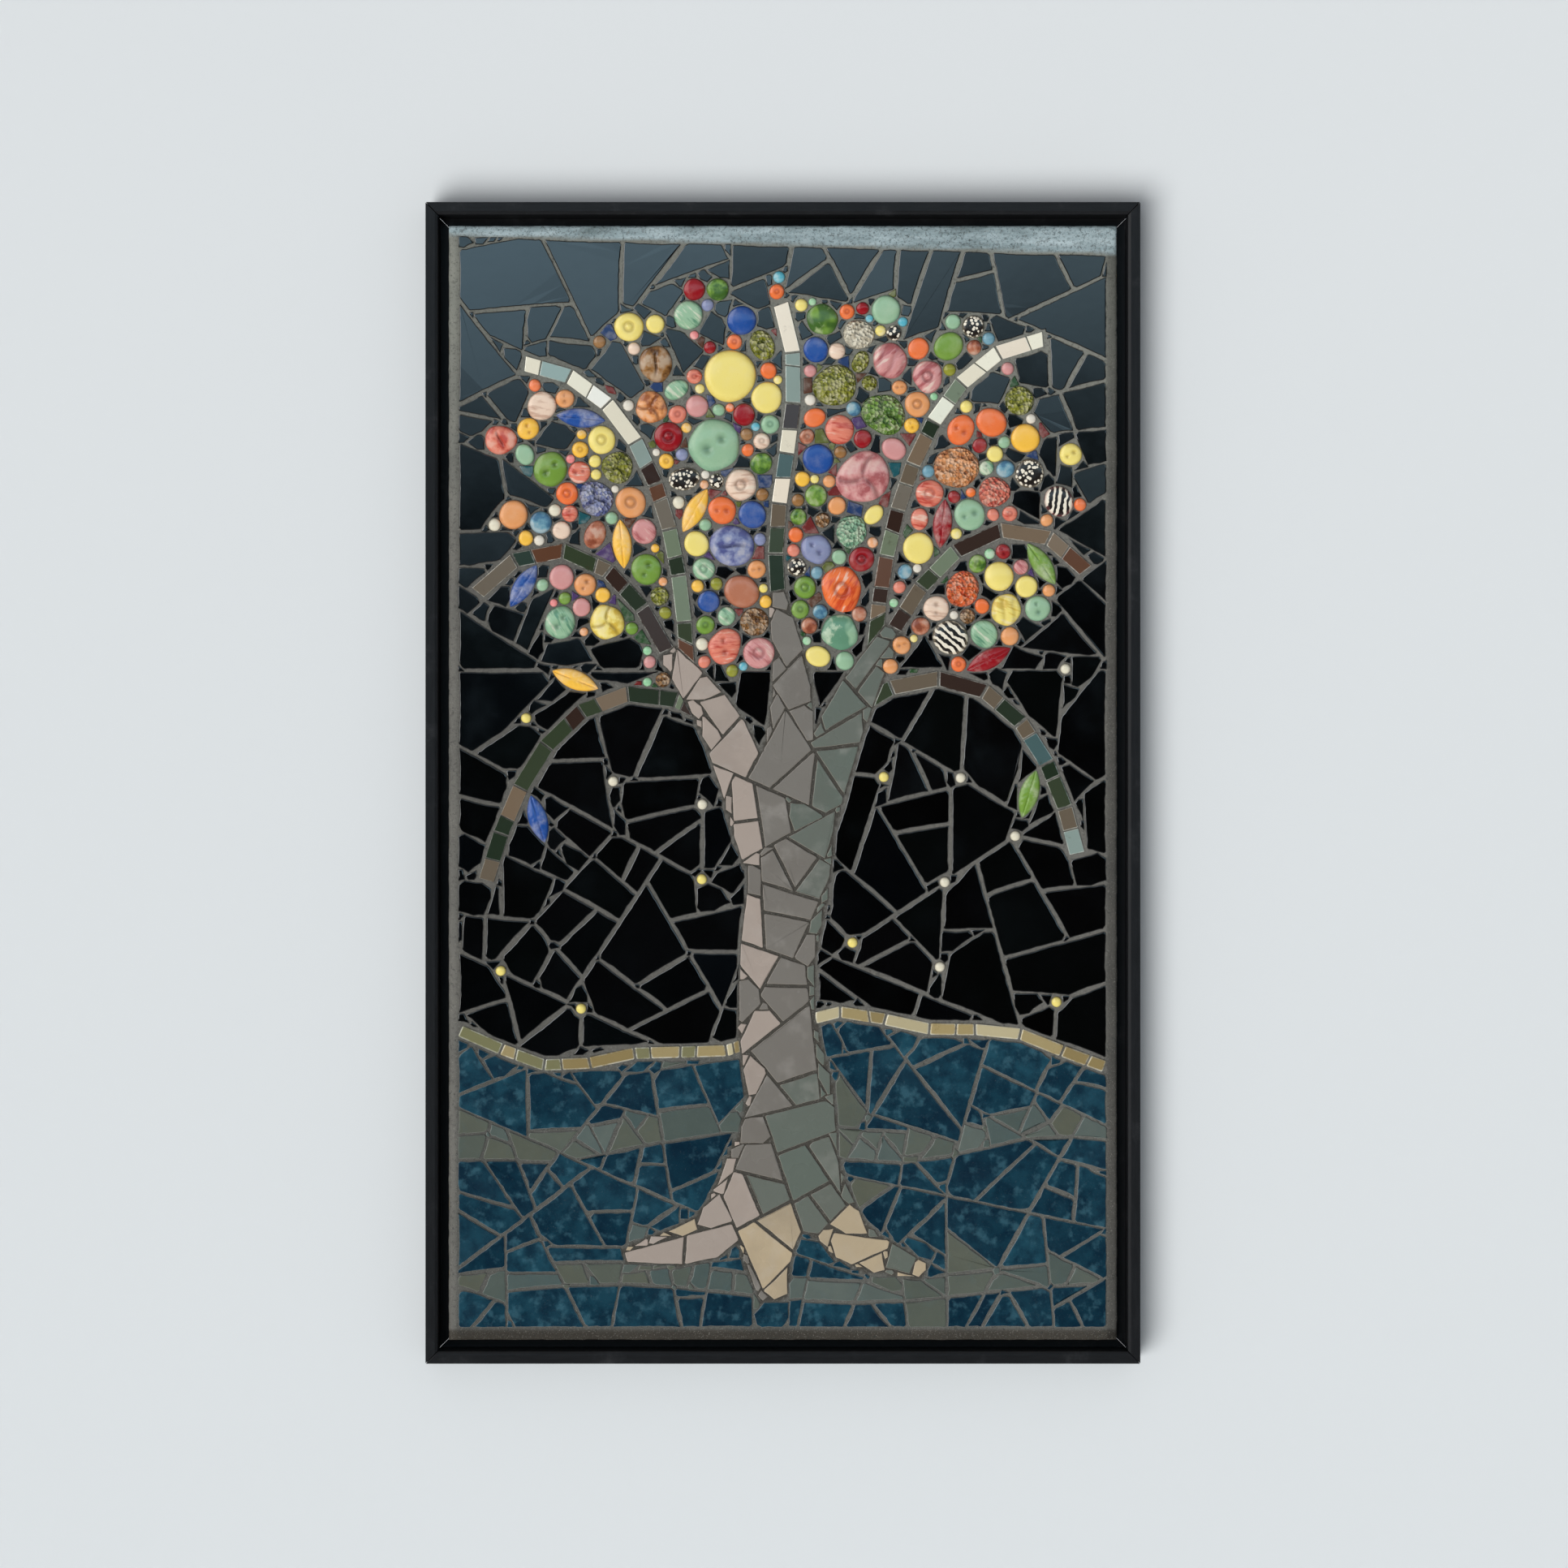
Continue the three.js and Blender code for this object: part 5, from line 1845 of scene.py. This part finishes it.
@dataclass
class Moulding:
    """Shapes one round piece of glazed clay."""

    shape: Round
    form: Form
    rings: int = 22
    sides: int = 56
    wobble: float = 0.02

    def add_to(self, pile: Pile, chance: Chance) -> None:
        """Add the piece to a pile, with a mark named rim at its edge and one named deep in its hollows."""
        angle = np.arange(self.sides) * math.tau / self.sides
        outline = np.ones(self.sides)
        for k in (2, 3, 5):
            much = self.wobble / k * 2 * math.cos(chance.random() * 9)
            outline += much * np.cos(k * angle + chance.random() * 9)
        lean = np.linspace(math.pi / 2, 0, self.rings)[1:-1]
        share = np.concatenate([[0.985, 1.0], np.sin(lean)])
        sharp = {Form.DISC: 6.0, Form.DOME: 2.3}.get(self.form, 3.2)
        rise = np.concatenate([[-0.14, 0.12], (1 - np.sin(lean) ** sharp) ** 0.5])
        u = np.append((share[:, None] * np.cos(angle) * outline).ravel(), 0.0)
        v = np.append((share[:, None] * np.sin(angle) * outline).ravel(), 0.0)
        height = np.append(np.repeat(rise, self.sides), 1.0)
        hollow = self.hollows(u, v, chance)
        swell = 0.035 * np.cos(3 * u + chance.random() * 9) * np.cos(4 * v + chance.random() * 9)
        inner = np.clip((0.97 - np.hypot(u, v)) / 0.12, 0, 1)
        height = height + inner * (swell * (self.form is not Form.DISC) - hollow)
        cos, sin = math.cos(self.shape.turn), math.sin(self.shape.turn)
        along, across = u * self.shape.along, v * self.shape.across
        x = self.shape.middle[0] + along * cos - across * sin
        z = self.shape.middle[1] + along * sin + across * cos
        y = GROUT + height * (self.shape.top - GROUT)
        faces = ring_faces(self.sides, self.rings)
        last, apex = (self.rings - 1) * self.sides, self.rings * self.sides
        faces += [[last + i, last + (i + 1) % self.sides, apex] for i in range(self.sides)]
        faces.append([*reversed(range(self.sides))])
        flat = [False] * (len(faces) - 1) + [True]
        rim = np.clip(np.hypot(u, v), 0, 1) ** 2
        pile.add(np.stack([x, y, z], axis=1), faces, flat, rim=rim, deep=np.clip(hollow * 3, 0, 1))

    def hollows(self, u: Array, v: Array, chance: Chance) -> Array:
        """How deep each point is pressed in, as a share of the height."""
        turn = chance.random() * math.tau
        along, across = u * math.cos(turn) + v * math.sin(turn), v * math.cos(turn) - u * math.sin(turn)
        far = np.hypot(u, v)
        if self.form is Form.DIMPLED:
            spots = [(0.28, 0.16, 0.2), (-0.3, -0.22, 0.15)]
            return sum(0.34 * np.exp(-(((along - a) ** 2 + (across - b) ** 2) / s**2)) for a, b, s in spots)
        if self.form is Form.PINCHED:
            bent = across - 0.12 * np.sin(3 * along)
            return 0.42 * np.exp(-((bent / 0.08) ** 2)) * np.clip(1.3 - 1.5 * np.abs(along), 0, 1)
        if self.form is Form.LOBED:
            angle = np.arctan2(across, along)
            seams = [(np.sin((angle - 2.1 * k + 0.5 * far) / 2)) * far * 2 for k in range(3)]
            pressed = sum(0.36 * np.exp(-((seam / 0.1) ** 2)) for seam in seams)
            return pressed * (far < 1) * np.clip(far * 5, 0.3, 1)
        if self.form is Form.RINGED:
            return 0.7 * np.clip((0.36 - far) / 0.08, 0, 1)
        if self.form is Form.NUBBED:
            return 0.3 * np.exp(-(((far - 0.3) / 0.1) ** 2)) - 0.1 * np.exp(-((far / 0.16) ** 2))
        if self.form is Form.RIDGED:
            return 0.16 * (0.5 + 0.5 * np.sin(along * 9 + np.sin(across * 3))) ** 2
        return np.zeros_like(u)


# How each fruit is shaped and glazed. The list is gone through again as often as there is fruit left.
FRUIT_MAKES = [
    (Form.LOBED, Pattern.CLOUDED),
    (Form.DIMPLED, Pattern.PLAIN),
    (Form.DISC, Pattern.PLAIN),
    (Form.LOBED, Pattern.CRUSTED),
    (Form.RIDGED, Pattern.CRUSTED),
    (Form.PINCHED, Pattern.CLOUDED),
    (Form.NUBBED, Pattern.STREAKED),
    (Form.DOME, Pattern.CRUSTED),
    (Form.DISC, Pattern.BANDED),
    (Form.DIMPLED, Pattern.STREAKED),
    (Form.RIDGED, Pattern.STREAKED),
    (Form.DOME, Pattern.POOLED),
]
FRUIT_GLAZES = [Glaze.ROSE, Glaze.MINT, Glaze.LEMON, Glaze.LEAF_GREEN, Glaze.APRICOT, Glaze.LAVENDER]
FRUIT_GLAZES += [Glaze.ORANGE, Glaze.LIME, Glaze.CREAM, Glaze.CORAL]
FRUIT_KIN = {Glaze.CREAM: Glaze.PEACH, Glaze.APRICOT: Glaze.BRICK, Glaze.LIME: Glaze.BRONZE}
LEAF_GLAZES = [Glaze.YELLOW, Glaze.COBALT, Glaze.CRIMSON, Glaze.LEAF_GREEN]
# The glazes of buttons. One that is named twice is twice as common.
BUTTON_PATTERNS = {
    Glaze.ORANGE: (Pattern.PLAIN, Pattern.PLAIN),
    Glaze.YELLOW: (Pattern.PLAIN, Pattern.PLAIN),
    Glaze.LEMON: (Pattern.PLAIN, Pattern.PLAIN),
    Glaze.LEAF_GREEN: (Pattern.PLAIN, Pattern.CLOUDED),
    Glaze.MINT: (Pattern.PLAIN, Pattern.STREAKED),
    Glaze.CORAL: (Pattern.PLAIN, Pattern.STREAKED),
    Glaze.APRICOT: (Pattern.PLAIN,),
    Glaze.ROSE: (Pattern.STREAKED, Pattern.PLAIN),
    Glaze.LAVENDER: (Pattern.CLOUDED,),
    Glaze.SKY: (Pattern.CLOUDED,),
    Glaze.PEACH: (Pattern.STREAKED,),
    Glaze.LIME: (Pattern.CRUSTED,),
    Glaze.BRONZE: (Pattern.CRUSTED,),
    Glaze.CREAM: (Pattern.SPECKLED,),
    Glaze.BRICK: (Pattern.CLOUDED,),
    Glaze.CRIMSON: (Pattern.PLAIN,),
    Glaze.COBALT: (Pattern.PLAIN,),
}
BUTTON_MAKES = [(glaze, pattern) for glaze, patterns in BUTTON_PATTERNS.items() for pattern in patterns]


@dataclass
class Crown:
    """The glazed fruit, buttons and leaves that crowd the branches.

    Attributes:
        fruit_seed: What the fruit's chance starts from.
        button_seed: What the buttons' chance starts from.
        small: The radius below which a button is a plain dome.
        wide: The radius above which a button is finely shaped and may be oval.
        bead: The radius below which a raised round of the black field is a bead.
        gap: The mortar that is left round each button.
        height: How far buttons stand above the joints.
        dense: How far out in the crown the buttons start to thin.
        thinning: How fast they thin.
        buttons: The buttons so far, a pile for each glaze and pattern.
    """

    fruit_seed: int = 301
    button_seed: int = 302
    small: float = 6.2 * MM
    wide: float = 9 * MM
    bead: float = 6 * MM
    gap: float = 0.9 * MM
    height: float = 3.4 * MM
    dense: float = 0.62
    thinning: float = 0.9
    buttons: dict[tuple[Glaze, Pattern], Pile] = field(default_factory=dict)

    def build_fruit(self) -> None:
        """Make every fruit as a piece of its own."""
        chance = np.random.default_rng(self.fruit_seed)
        for number, node in enumerate(nodes_named("fruit_")):
            glaze = FRUIT_GLAZES[number % len(FRUIT_GLAZES)]
            glaze = FRUIT_KIN.get(glaze, glaze) if number // len(FRUIT_GLAZES) % 2 else glaze
            form, pattern = FRUIT_MAKES[number % len(FRUIT_MAKES)]
            pile = Pile()
            moulding = Moulding(Round.read(Facets.of(node)), form, wobble=0.02 if form is Form.DISC else 0.06)
            moulding.add_to(pile, chance)
            finish = GlazedClay.of(glaze, pattern, "fruit", number * 0.7)
            pile.piece(f"glazed_{node}", finish, glaze.slot, node)

    def build_leaves(self) -> None:
        """Make every leaf as a piece of its own."""
        for number, node in enumerate(nodes_named("leaf_")):
            glaze = LEAF_GLAZES[number % len(LEAF_GLAZES)]
            finish = GlazedClay(f"{glaze.slot}_leaf", glaze.thick, glaze.thin)
            pile = Pile()
            self.leaf(pile, Facets.of(node))
            pile.piece(f"glazed_{node}", finish, glaze.slot, node)

    def leaf(self, pile: Pile, facets: Facets, steps: int = 36, across_steps: int = 10) -> None:
        """Shape a leaf with a rounded blade, a pressed midrib and side veins.

        Args:
            pile: Where the leaf goes.
            facets: Its solid.
            steps: The number of steps along it.
            across_steps: The number of steps from its edge to its midrib.
        """
        places, _ = facets.welded()
        flat = places[:, (0, 2)]
        middle = flat.mean(axis=0)
        _, ways = np.linalg.eigh(np.cov((flat - middle).T))
        along, across = ways[:, 1], np.array([-ways[1, 1], ways[0, 1]])
        length = float(np.abs((flat - middle) @ along).max())
        width = float(np.abs((flat - middle) @ across).max())
        rise = GROUT - float(places[:, 1].min())
        angle = np.arange(2 * steps) * math.tau / (2 * steps)
        u_edge = np.cos(angle)
        v_edge = np.sign(np.sin(angle)) * (1 - u_edge**2) ** 0.9
        rings = [(1.0, -0.25), (1.0, 0.2)]
        rings += [(math.sin(lean), math.cos(lean) ** 0.8) for lean in np.linspace(1.45, 0.12, across_steps)]
        points = []
        for share, height in rings:
            u, v = u_edge * (0.12 + 0.88 * share) if share < 1 else u_edge, v_edge * share
            rib = 0.3 * np.exp(-((v / 0.09) ** 2)) * (np.abs(u) < 0.93)
            veins = 0.07 * (0.5 + 0.5 * np.cos(u * 26 + np.abs(v) * 9)) * np.clip(1 - share, 0, 0.5) * 2
            depth = GROUT - rise * (height * (1 - 0.25 * u**2) - (rib + veins) * (share < 1))
            at = middle + np.outer(u * length, along) + np.outer(v * width, across)
            points.append(np.stack([at[:, 0], depth, at[:, 1]], axis=1))
        faces = stack_faces(len(angle), len(rings))
        if along[0] * across[1] - along[1] * across[0] < 0:
            faces = [face[::-1] for face in faces]
        rim = np.repeat([share**2 for share, _ in rings], len(angle))
        pile.add(np.concatenate(points), faces, [False] * (len(faces) - 1) + [True], rim=rim, deep=0.0)

    def read_buttons(self) -> None:
        """Shape the buttons and beads of the black field."""
        chance = np.random.default_rng(self.button_seed)
        raised = Facets.of("black_field_tiles").beyond(TILE_FACE - 0.3 * MM)
        for shape in (Round.read(island) for island in raised.islands()):
            if shape.along < self.bead:
                make = (Glaze.CREAM if chance.random() < 0.4 else Glaze.LEMON, Pattern.PLAIN)
            else:
                make = BUTTON_MAKES[chance.integers(len(BUTTON_MAKES))]
            self.button(make, shape, chance)

    def more_buttons(self, bed: Bed, sizes: Sequence[float]) -> None:
        """Set buttons into the widest gaps of the crown.

        Args:
            bed: The bed, with what stands on it so far.
            sizes: The radii to choose from, the largest first.
        """
        chance = np.random.default_rng(self.button_seed + 1)
        while True:
            middle, room = bed.widest()
            fitting = [size for size in sizes if size + self.gap < room]
            if not fitting:
                break
            share = crown_share(middle)
            if share > 1 or bed.kind_at(middle) is not Kind.BLACK:
                bed.close(middle, 3 * MM)
                continue
            if chance.random() < self.thinning * (share - self.dense):
                bed.close(middle, room)
                continue
            radius = fitting[0] if chance.random() < 0.8 else fitting[chance.integers(len(fitting))]
            oval = radius > self.wide and chance.random() < 0.3
            narrow = chance.uniform(0.7, 0.86) if oval else chance.uniform(0.93, 1)
            shape = Round(middle, radius, radius * narrow, chance.random() * 3, GROUT - self.height)
            self.button(BUTTON_MAKES[chance.integers(len(BUTTON_MAKES))], shape, chance)
            bed.fill_disc(middle, radius)
        bed.measure()

    def button(self, make: tuple[Glaze, Pattern], shape: Round, chance: Chance) -> None:
        """Shape one button in its glaze."""
        forms = (Form.DISC, Form.DISC, Form.DISC, Form.DOME, Form.DIMPLED, Form.NUBBED)
        form = Form.DOME if shape.along < self.small else forms[chance.integers(len(forms))]
        make = (make[0], Pattern.PLAIN) if shape.along < self.small else make
        rings, sides = (14, 36) if shape.along > self.wide else (7, 16)
        Moulding(shape, form, rings, sides).add_to(self.buttons.setdefault(make, Pile()), chance)

    def build_buttons(self) -> None:
        """Make the buttons, each glaze as one piece."""
        for (glaze, pattern), pile in self.buttons.items():
            finish = GlazedClay.of(glaze, pattern, "button", 0.6 * len(glaze.name))
            name = f"buttons_{glaze.name.lower()}_{pattern.value}"
            pile.piece(name, finish, glaze.slot, "black_field_tiles")


def nodes_named(start: str) -> list[str]:
    """The frame's nodes whose names start with a word, in order."""
    return sorted(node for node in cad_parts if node.startswith(start))


def crown_share(place: Array) -> float:
    """How far out in the crown's ellipse a place lies: 0 at its middle and 1 on its edge."""
    return math.hypot(place[0] / CROWN["across"], (place[1] - CROWN["middle"]) / CROWN["up"])


CROWN = {"middle": -0.142, "across": 0.268, "up": 0.196}


# ---- Offcuts and beads in the gaps ----


@dataclass
class Gaps:
    """Fills the mortar that is left: offcuts nipped to fit, then beads in the smallest gaps.

    Attributes:
        joint: The mortar that is left round an offcut.
        least_room: The room that an offcut needs.
        least_area: The area below which no offcut is nipped.
        bead_room: The room below which a gap is left as it is.
        bead_joint: The mortar that is left round a bead.
        least_bead: The least radius of a bead.
        seed: What its chance starts from.
        glass: The bits of coloured glass so far.
        beads: The place, the radius and the shade of each bead so far.
    """

    joint: float = 1.15 * MM
    least_room: float = 2.4 * MM
    least_area: float = 14 * MM * MM
    bead_room: float = 2.3 * MM
    bead_joint: float = 0.8 * MM
    least_bead: float = 3.0 * MM
    seed: int = 77
    glass: Pile = field(default_factory=Pile)
    beads: list[tuple[tuple, float, Colour]] = field(default_factory=list)

    glass_shades = shades_of(
        (84, 50, 32), (78, 58, 104), (26, 82, 90), (44, 76, 44),
        (34, 56, 100), (110, 36, 34), (92, 100, 44),
    )
    bead_shades = shades_of(
        (246, 190, 60), (244, 124, 60), (240, 222, 120), (150, 206, 160),
        (236, 140, 140), (90, 180, 200), (226, 220, 206), (236, 166, 112),
    )

    def fill(self, bed: Bed, pavings: dict[Kind, Paving]) -> None:
        """Work through the gaps, the widest first."""
        chance = np.random.default_rng(self.seed)
        while True:
            middle, room = bed.widest()
            if room < self.bead_room:
                break
            kind = bed.kind_at(middle)
            share = crown_share(middle)
            crown = kind is Kind.BLACK and share < 1
            if crown and room > 4.3 * MM and chance.random() < 0.3:
                self.bead(bed, middle, room, chance)
                continue
            if room > self.least_room and kind in pavings:
                most = min(4.2 * room + 3 * MM, 22 * MM)
                outline = bed.offcut(middle, self.joint, most, chance.random() * math.tau)
                if len(outline) > 2 and area_of(outline) > self.least_area:
                    outline = trimmed(outline, 1.2 * MM)
                    if crown and chance.random() < 0.5 - 0.4 * share:
                        self.chip(outline, chance)
                    else:
                        pavings[kind].lay(outline, 6 * MM)
                    bed.fill_outline(outline)
                    continue
            if crown and room > self.least_bead + self.bead_joint:
                self.bead(bed, middle, room, chance)
            else:
                bed.close(middle, 2.5 * MM)

    def chip(self, outline: Array, chance: Chance) -> None:
        """A bit of coloured glass."""
        shade = self.glass_shades[chance.integers(len(self.glass_shades))]
        edge, crest = TILE_FACE + 0.1 * MM, TILE_FACE - 0.3 * MM
        levels = [(TILE_ROOT, 0), (GROUT, 0), (edge, 0.2 * MM), (crest, 0.9 * MM)]
        places, faces, flat = raised_plate(subdivided(outline, 5 * MM), levels)
        rim = np.repeat([1.0, 1.0, 0.8, 0.1], len(places) // 4)
        self.glass.add(places, faces, flat, shade=shade, rim=rim)

    def bead(self, bed: Bed, middle: Array, room: float, chance: Chance) -> None:
        """A round bead that fits the gap."""
        radius = min(room - self.bead_joint, chance.uniform(4, 5.6) * MM)
        shade = self.bead_shades[chance.integers(len(self.bead_shades))]
        self.beads.append(((middle[0], GROUT, middle[1]), radius, shade))
        bed.fill_disc(middle, radius)

    def build(self) -> None:
        """Make the coloured glass, and set the beads."""
        self.glass.piece("coloured_glass_bits", SmallGlaze("coloured_glass", clear=True), "lavender_glaze")
        pile = Pile()
        shape = Round(np.zeros(2), 1.0, 1.0, 0.0, GROUT - 0.55)
        Moulding(shape, Form.DOME, rings=5, sides=11, wobble=0.0).add_to(pile, np.random.default_rng(3))
        pile.places[0] = pile.places[0] - (0, GROUT, 0)
        finish = SmallGlaze("bead_glaze")
        mesh = STAMPS.set_out(*zip(*self.beads), pile.mesh("bead"), finish, seed=9, lean=0.05)
        finished("glazed_beads", mesh, finish, "yellow_glaze")


def trimmed(outline: Array, least: float) -> Array:
    """An outline without sides shorter than a length."""
    kept = [outline[0]]
    for place in outline[1:]:
        if np.linalg.norm(place - kept[-1]) > least:
            kept.append(place)
    if len(kept) > 3 and np.linalg.norm(kept[0] - kept[-1]) < least:
        kept.pop()
    return np.array(kept)


# ---- The room ----


@dataclass
class Studio:
    """A pale wall and floor, soft light from the lower left, and the camera straight in front."""

    wall_shade: Colour = srgb(226, 231, 234)
    floor_level: float = -1.85
    roof_level: float = 1.6
    half_width: float = 2.4
    floor_depth: float = 6.5
    behind: float = 0.6 * MM
    inset: float = 6 * MM
    lens: float = 100.0
    distance: float = 3.9
    view_width: float = 1.4035
    off_centre: float = 1 * MM

    def build(self) -> None:
        """Make the wall, the floor, the light and the camera."""
        self.wall()
        self.lamp("soft_lamp", Vector((0.46, 1.0, 0.46)), 2.42, 38)
        self.lamp("rear_lamp", Vector((-0.35, -1.0, -0.5)), 1.3, 60)
        self.sky()
        self.camera()
        bpy.context.scene.view_settings.view_transform = "Standard"

    def wall(self) -> None:
        """A wall that is left open behind the panel and clear from its back, and a floor."""
        left, right, bottom, top = frame_edges()
        left, bottom = left + self.inset, bottom + self.inset
        right, top = right - self.inset, top - self.inset
        w, floor, roof = self.half_width, self.floor_level, self.roof_level
        outer = [(-w, floor), (w, floor), (w, roof), (-w, roof)]
        inner = [(left, bottom), (right, bottom), (right, top), (left, top)]
        wall = bpy.data.meshes.new("studio_wall")
        ring = [[i, (i + 1) % 4, 4 + (i + 1) % 4, 4 + i] for i in range(4)]
        wall.from_pydata([(x, self.behind, z) for x, z in outer + inner], [], ring)
        ground = bpy.data.meshes.new("studio_floor")
        depths = ((-w, -self.floor_depth), (w, -self.floor_depth), (w, self.behind), (-w, self.behind))
        ground.from_pydata([(x, y, floor) for x, y in depths], [], [[0, 1, 2, 3]])
        for mesh in (wall, ground):
            mesh.materials.append(wired_material("studio_plaster", self.plaster))
            backdrop = placed(mesh.name, mesh)
            backdrop.visible_shadow = backdrop.visible_glossy = mesh is wall

    def plaster(self, wires: Wiring) -> Socket:
        """Matt pale paint, clear from behind."""
        soft = wires.noise(wires.coordinates(), 1.5, 3, 0.5)
        colour = wires.mix(soft, self.wall_shade, blended(self.wall_shade, (1, 1, 1), 0.04))
        paint = wires.add("ShaderNodeBsdfDiffuse", {"Color": colour}).outputs[0]
        clear = wires.add("ShaderNodeBsdfTransparent").outputs[0]
        behind = wires.add("ShaderNodeNewGeometry").outputs["Backfacing"]
        return wires.add("ShaderNodeMixShader", {0: behind, 1: paint, 2: clear}).outputs[0]

    def lamp(self, name: str, towards: Vector, energy: float, spread: float) -> None:
        """A lamp that shines one way all over.

        Args:
            name: Its name.
            towards: The way in which it shines.
            energy: Its strength.
            spread: The angle that it fills, in degrees.
        """
        lamp = bpy.data.lights.new(name, "SUN")
        lamp.energy = energy
        lamp.angle = math.radians(spread)
        lamp.color = (1.0, 0.985, 0.96)
        holder = placed(name, lamp)
        holder.visible_glossy = False
        holder.rotation_euler = towards.to_track_quat("-Z", "Y").to_euler()

    def sky(self) -> None:
        """Even light all round. What reflects also finds a pale sky, a window at the left and a dark room."""
        world = bpy.data.worlds.new("studio")
        bpy.context.scene.world = world
        world.use_nodes = True
        world.node_tree.nodes.clear()
        wires = Wiring(world.node_tree)
        way = wires.add("ShaderNodeTexCoord").outputs["Generated"]
        across, _, up = wires.add("ShaderNodeSeparateXYZ", {0: way}).outputs
        patches = wires.noise(way, 7, 4, 0.6)
        level = wires.more(up, wires.minus(patches, 0.5), 0.05)
        level = wires.more(level, wires.plus(across, 0.12), -0.1)
        overhead = wires.step(level, 0.28, 0.5)
        room = wires.ramp(patches, (0.35, srgb(3, 3, 4)), (0.5, srgb(14, 12, 10)), (0.62, srgb(18, 26, 29)))
        side = wires.mix(wires.step(across, -0.15, 0.15), (0.68, 1.04, 1.28, 1.0), (0.66, 0.98, 1.16, 1.0))
        seen = wires.mix(wires.minus(wires.step(level, 0.03, 0.15), overhead), room, side)
        seen = wires.over(seen, (0.5, 0.55, 0.6, 1.0), overhead, 0.5)
        seen = wires.mix(wires.step(up, -0.3, -0.5), seen, (0.2, 0.2, 0.2, 1.0))
        window = wires.times(wires.step(across, -0.35, -0.5), wires.step(up, -0.2, 0.05))
        seen = wires.mix(window, seen, (2.4, 2.4, 2.4, 1.0))
        path = wires.add("ShaderNodeLightPath").outputs
        even = wires.mix(path["Is Camera Ray"], (0.29, 0.295, 0.305, 1.0), (0.74, 0.76, 0.78, 1.0))
        colour = wires.mix(path["Is Glossy Ray"], even, seen)
        shine = wires.add("ShaderNodeBackground", {"Color": colour, "Strength": 1.0}).outputs[0]
        wires.add("ShaderNodeOutputWorld", {"Surface": shine})

    def camera(self) -> None:
        """The camera, square to the panel and a little off its middle."""
        low, high = (Vector(corner) for corner in CAD_BOX)
        middle = (low + high) / 2
        lens = bpy.data.cameras.new("camera")
        lens.lens = self.lens
        lens.sensor_width = self.view_width / self.distance * self.lens
        holder = placed("camera", lens)
        holder.location = (middle.x + self.off_centre, low.y - self.distance, middle.z - self.off_centre)
        holder.rotation_euler = (math.pi / 2, 0, 0)
        bpy.context.scene.camera = holder


def grounds() -> dict[Kind, Paving]:
    """The three grounds of tile."""
    black = ("black_field_tiles", "black_tiles", "black_glazed_tile", BLACK_TILE, black_shade, 401)
    blue = ("blue_ground_tiles", "blue_tiles", "blue_glazed_tile", BLUE_TILE, blue_shade, 402)
    tree = ("tree_tiles", "tree_bark_tiles", "taupe_glazed_tile", TREE_TILE, tree_shade, 403)
    return {
        Kind.BLACK: Paving(*black, open_crown=True, grow=0.45 * MM),
        Kind.BLUE: Paving(
            *blue, large=1000 * MM * MM, parting=0.38, nipping=0.3, wander=0.6 * MM, joint=1.7 * MM,
            rub=2.4 * MM, bow=0.9 * MM, bands=COURSES, grow=0.95 * MM,
        ),
        Kind.TREE: Paving(
            *tree, nipping=0.1, wander=0.3 * MM, rub=1.3 * MM, bow=0.4 * MM, grow=0.5 * MM, chip=0.18 * MM
        ),
    }


BUTTON_SIZES = [size * MM for size in (14, 12.8, 11.5, 10, 8.5, 7, 5.8)]


def main() -> None:
    """Build the panel from its back to its face, then the room around it."""
    logging.basicConfig(level=logging.INFO, format="%(message)s")
    Carcass().build()
    bed = Bed()
    MortarBed().build(bed)
    pavings = grounds()
    bed.cover([outline for paving in pavings.values() for outline in paving.outlines])
    crown = Crown()
    crown.build_fruit()
    crown.build_leaves()
    crown.more_buttons(bed, BUTTON_SIZES)
    crown.read_buttons()
    crown.build_buttons()
    gaps = Gaps()
    gaps.fill(bed, pavings)
    gaps.build()
    for paving in pavings.values():
        paving.build()
    mirror = StripGlass("silvered_mirror")
    for number, node in enumerate(nodes_named("branch_")):
        GlassRow(node, f"mirror_{node}", "mirror_glass", mirror, mirror_tint_and_painted_reflection, 500 + number).build()
    gilt = StripGlass("gilt_glass", srgb(120, 100, 60), 0.12)
    for number, side in enumerate(("left", "right")):
        names = (f"gold_edging_{side}", f"gilt_edging_{side}", "gold_glass")
        GlassRow(*names, gilt, gold_shade, 520 + number, lean=0.06, arris=1.2 * MM).build()
    Studio().build()


if __name__ == "__main__":
    main()
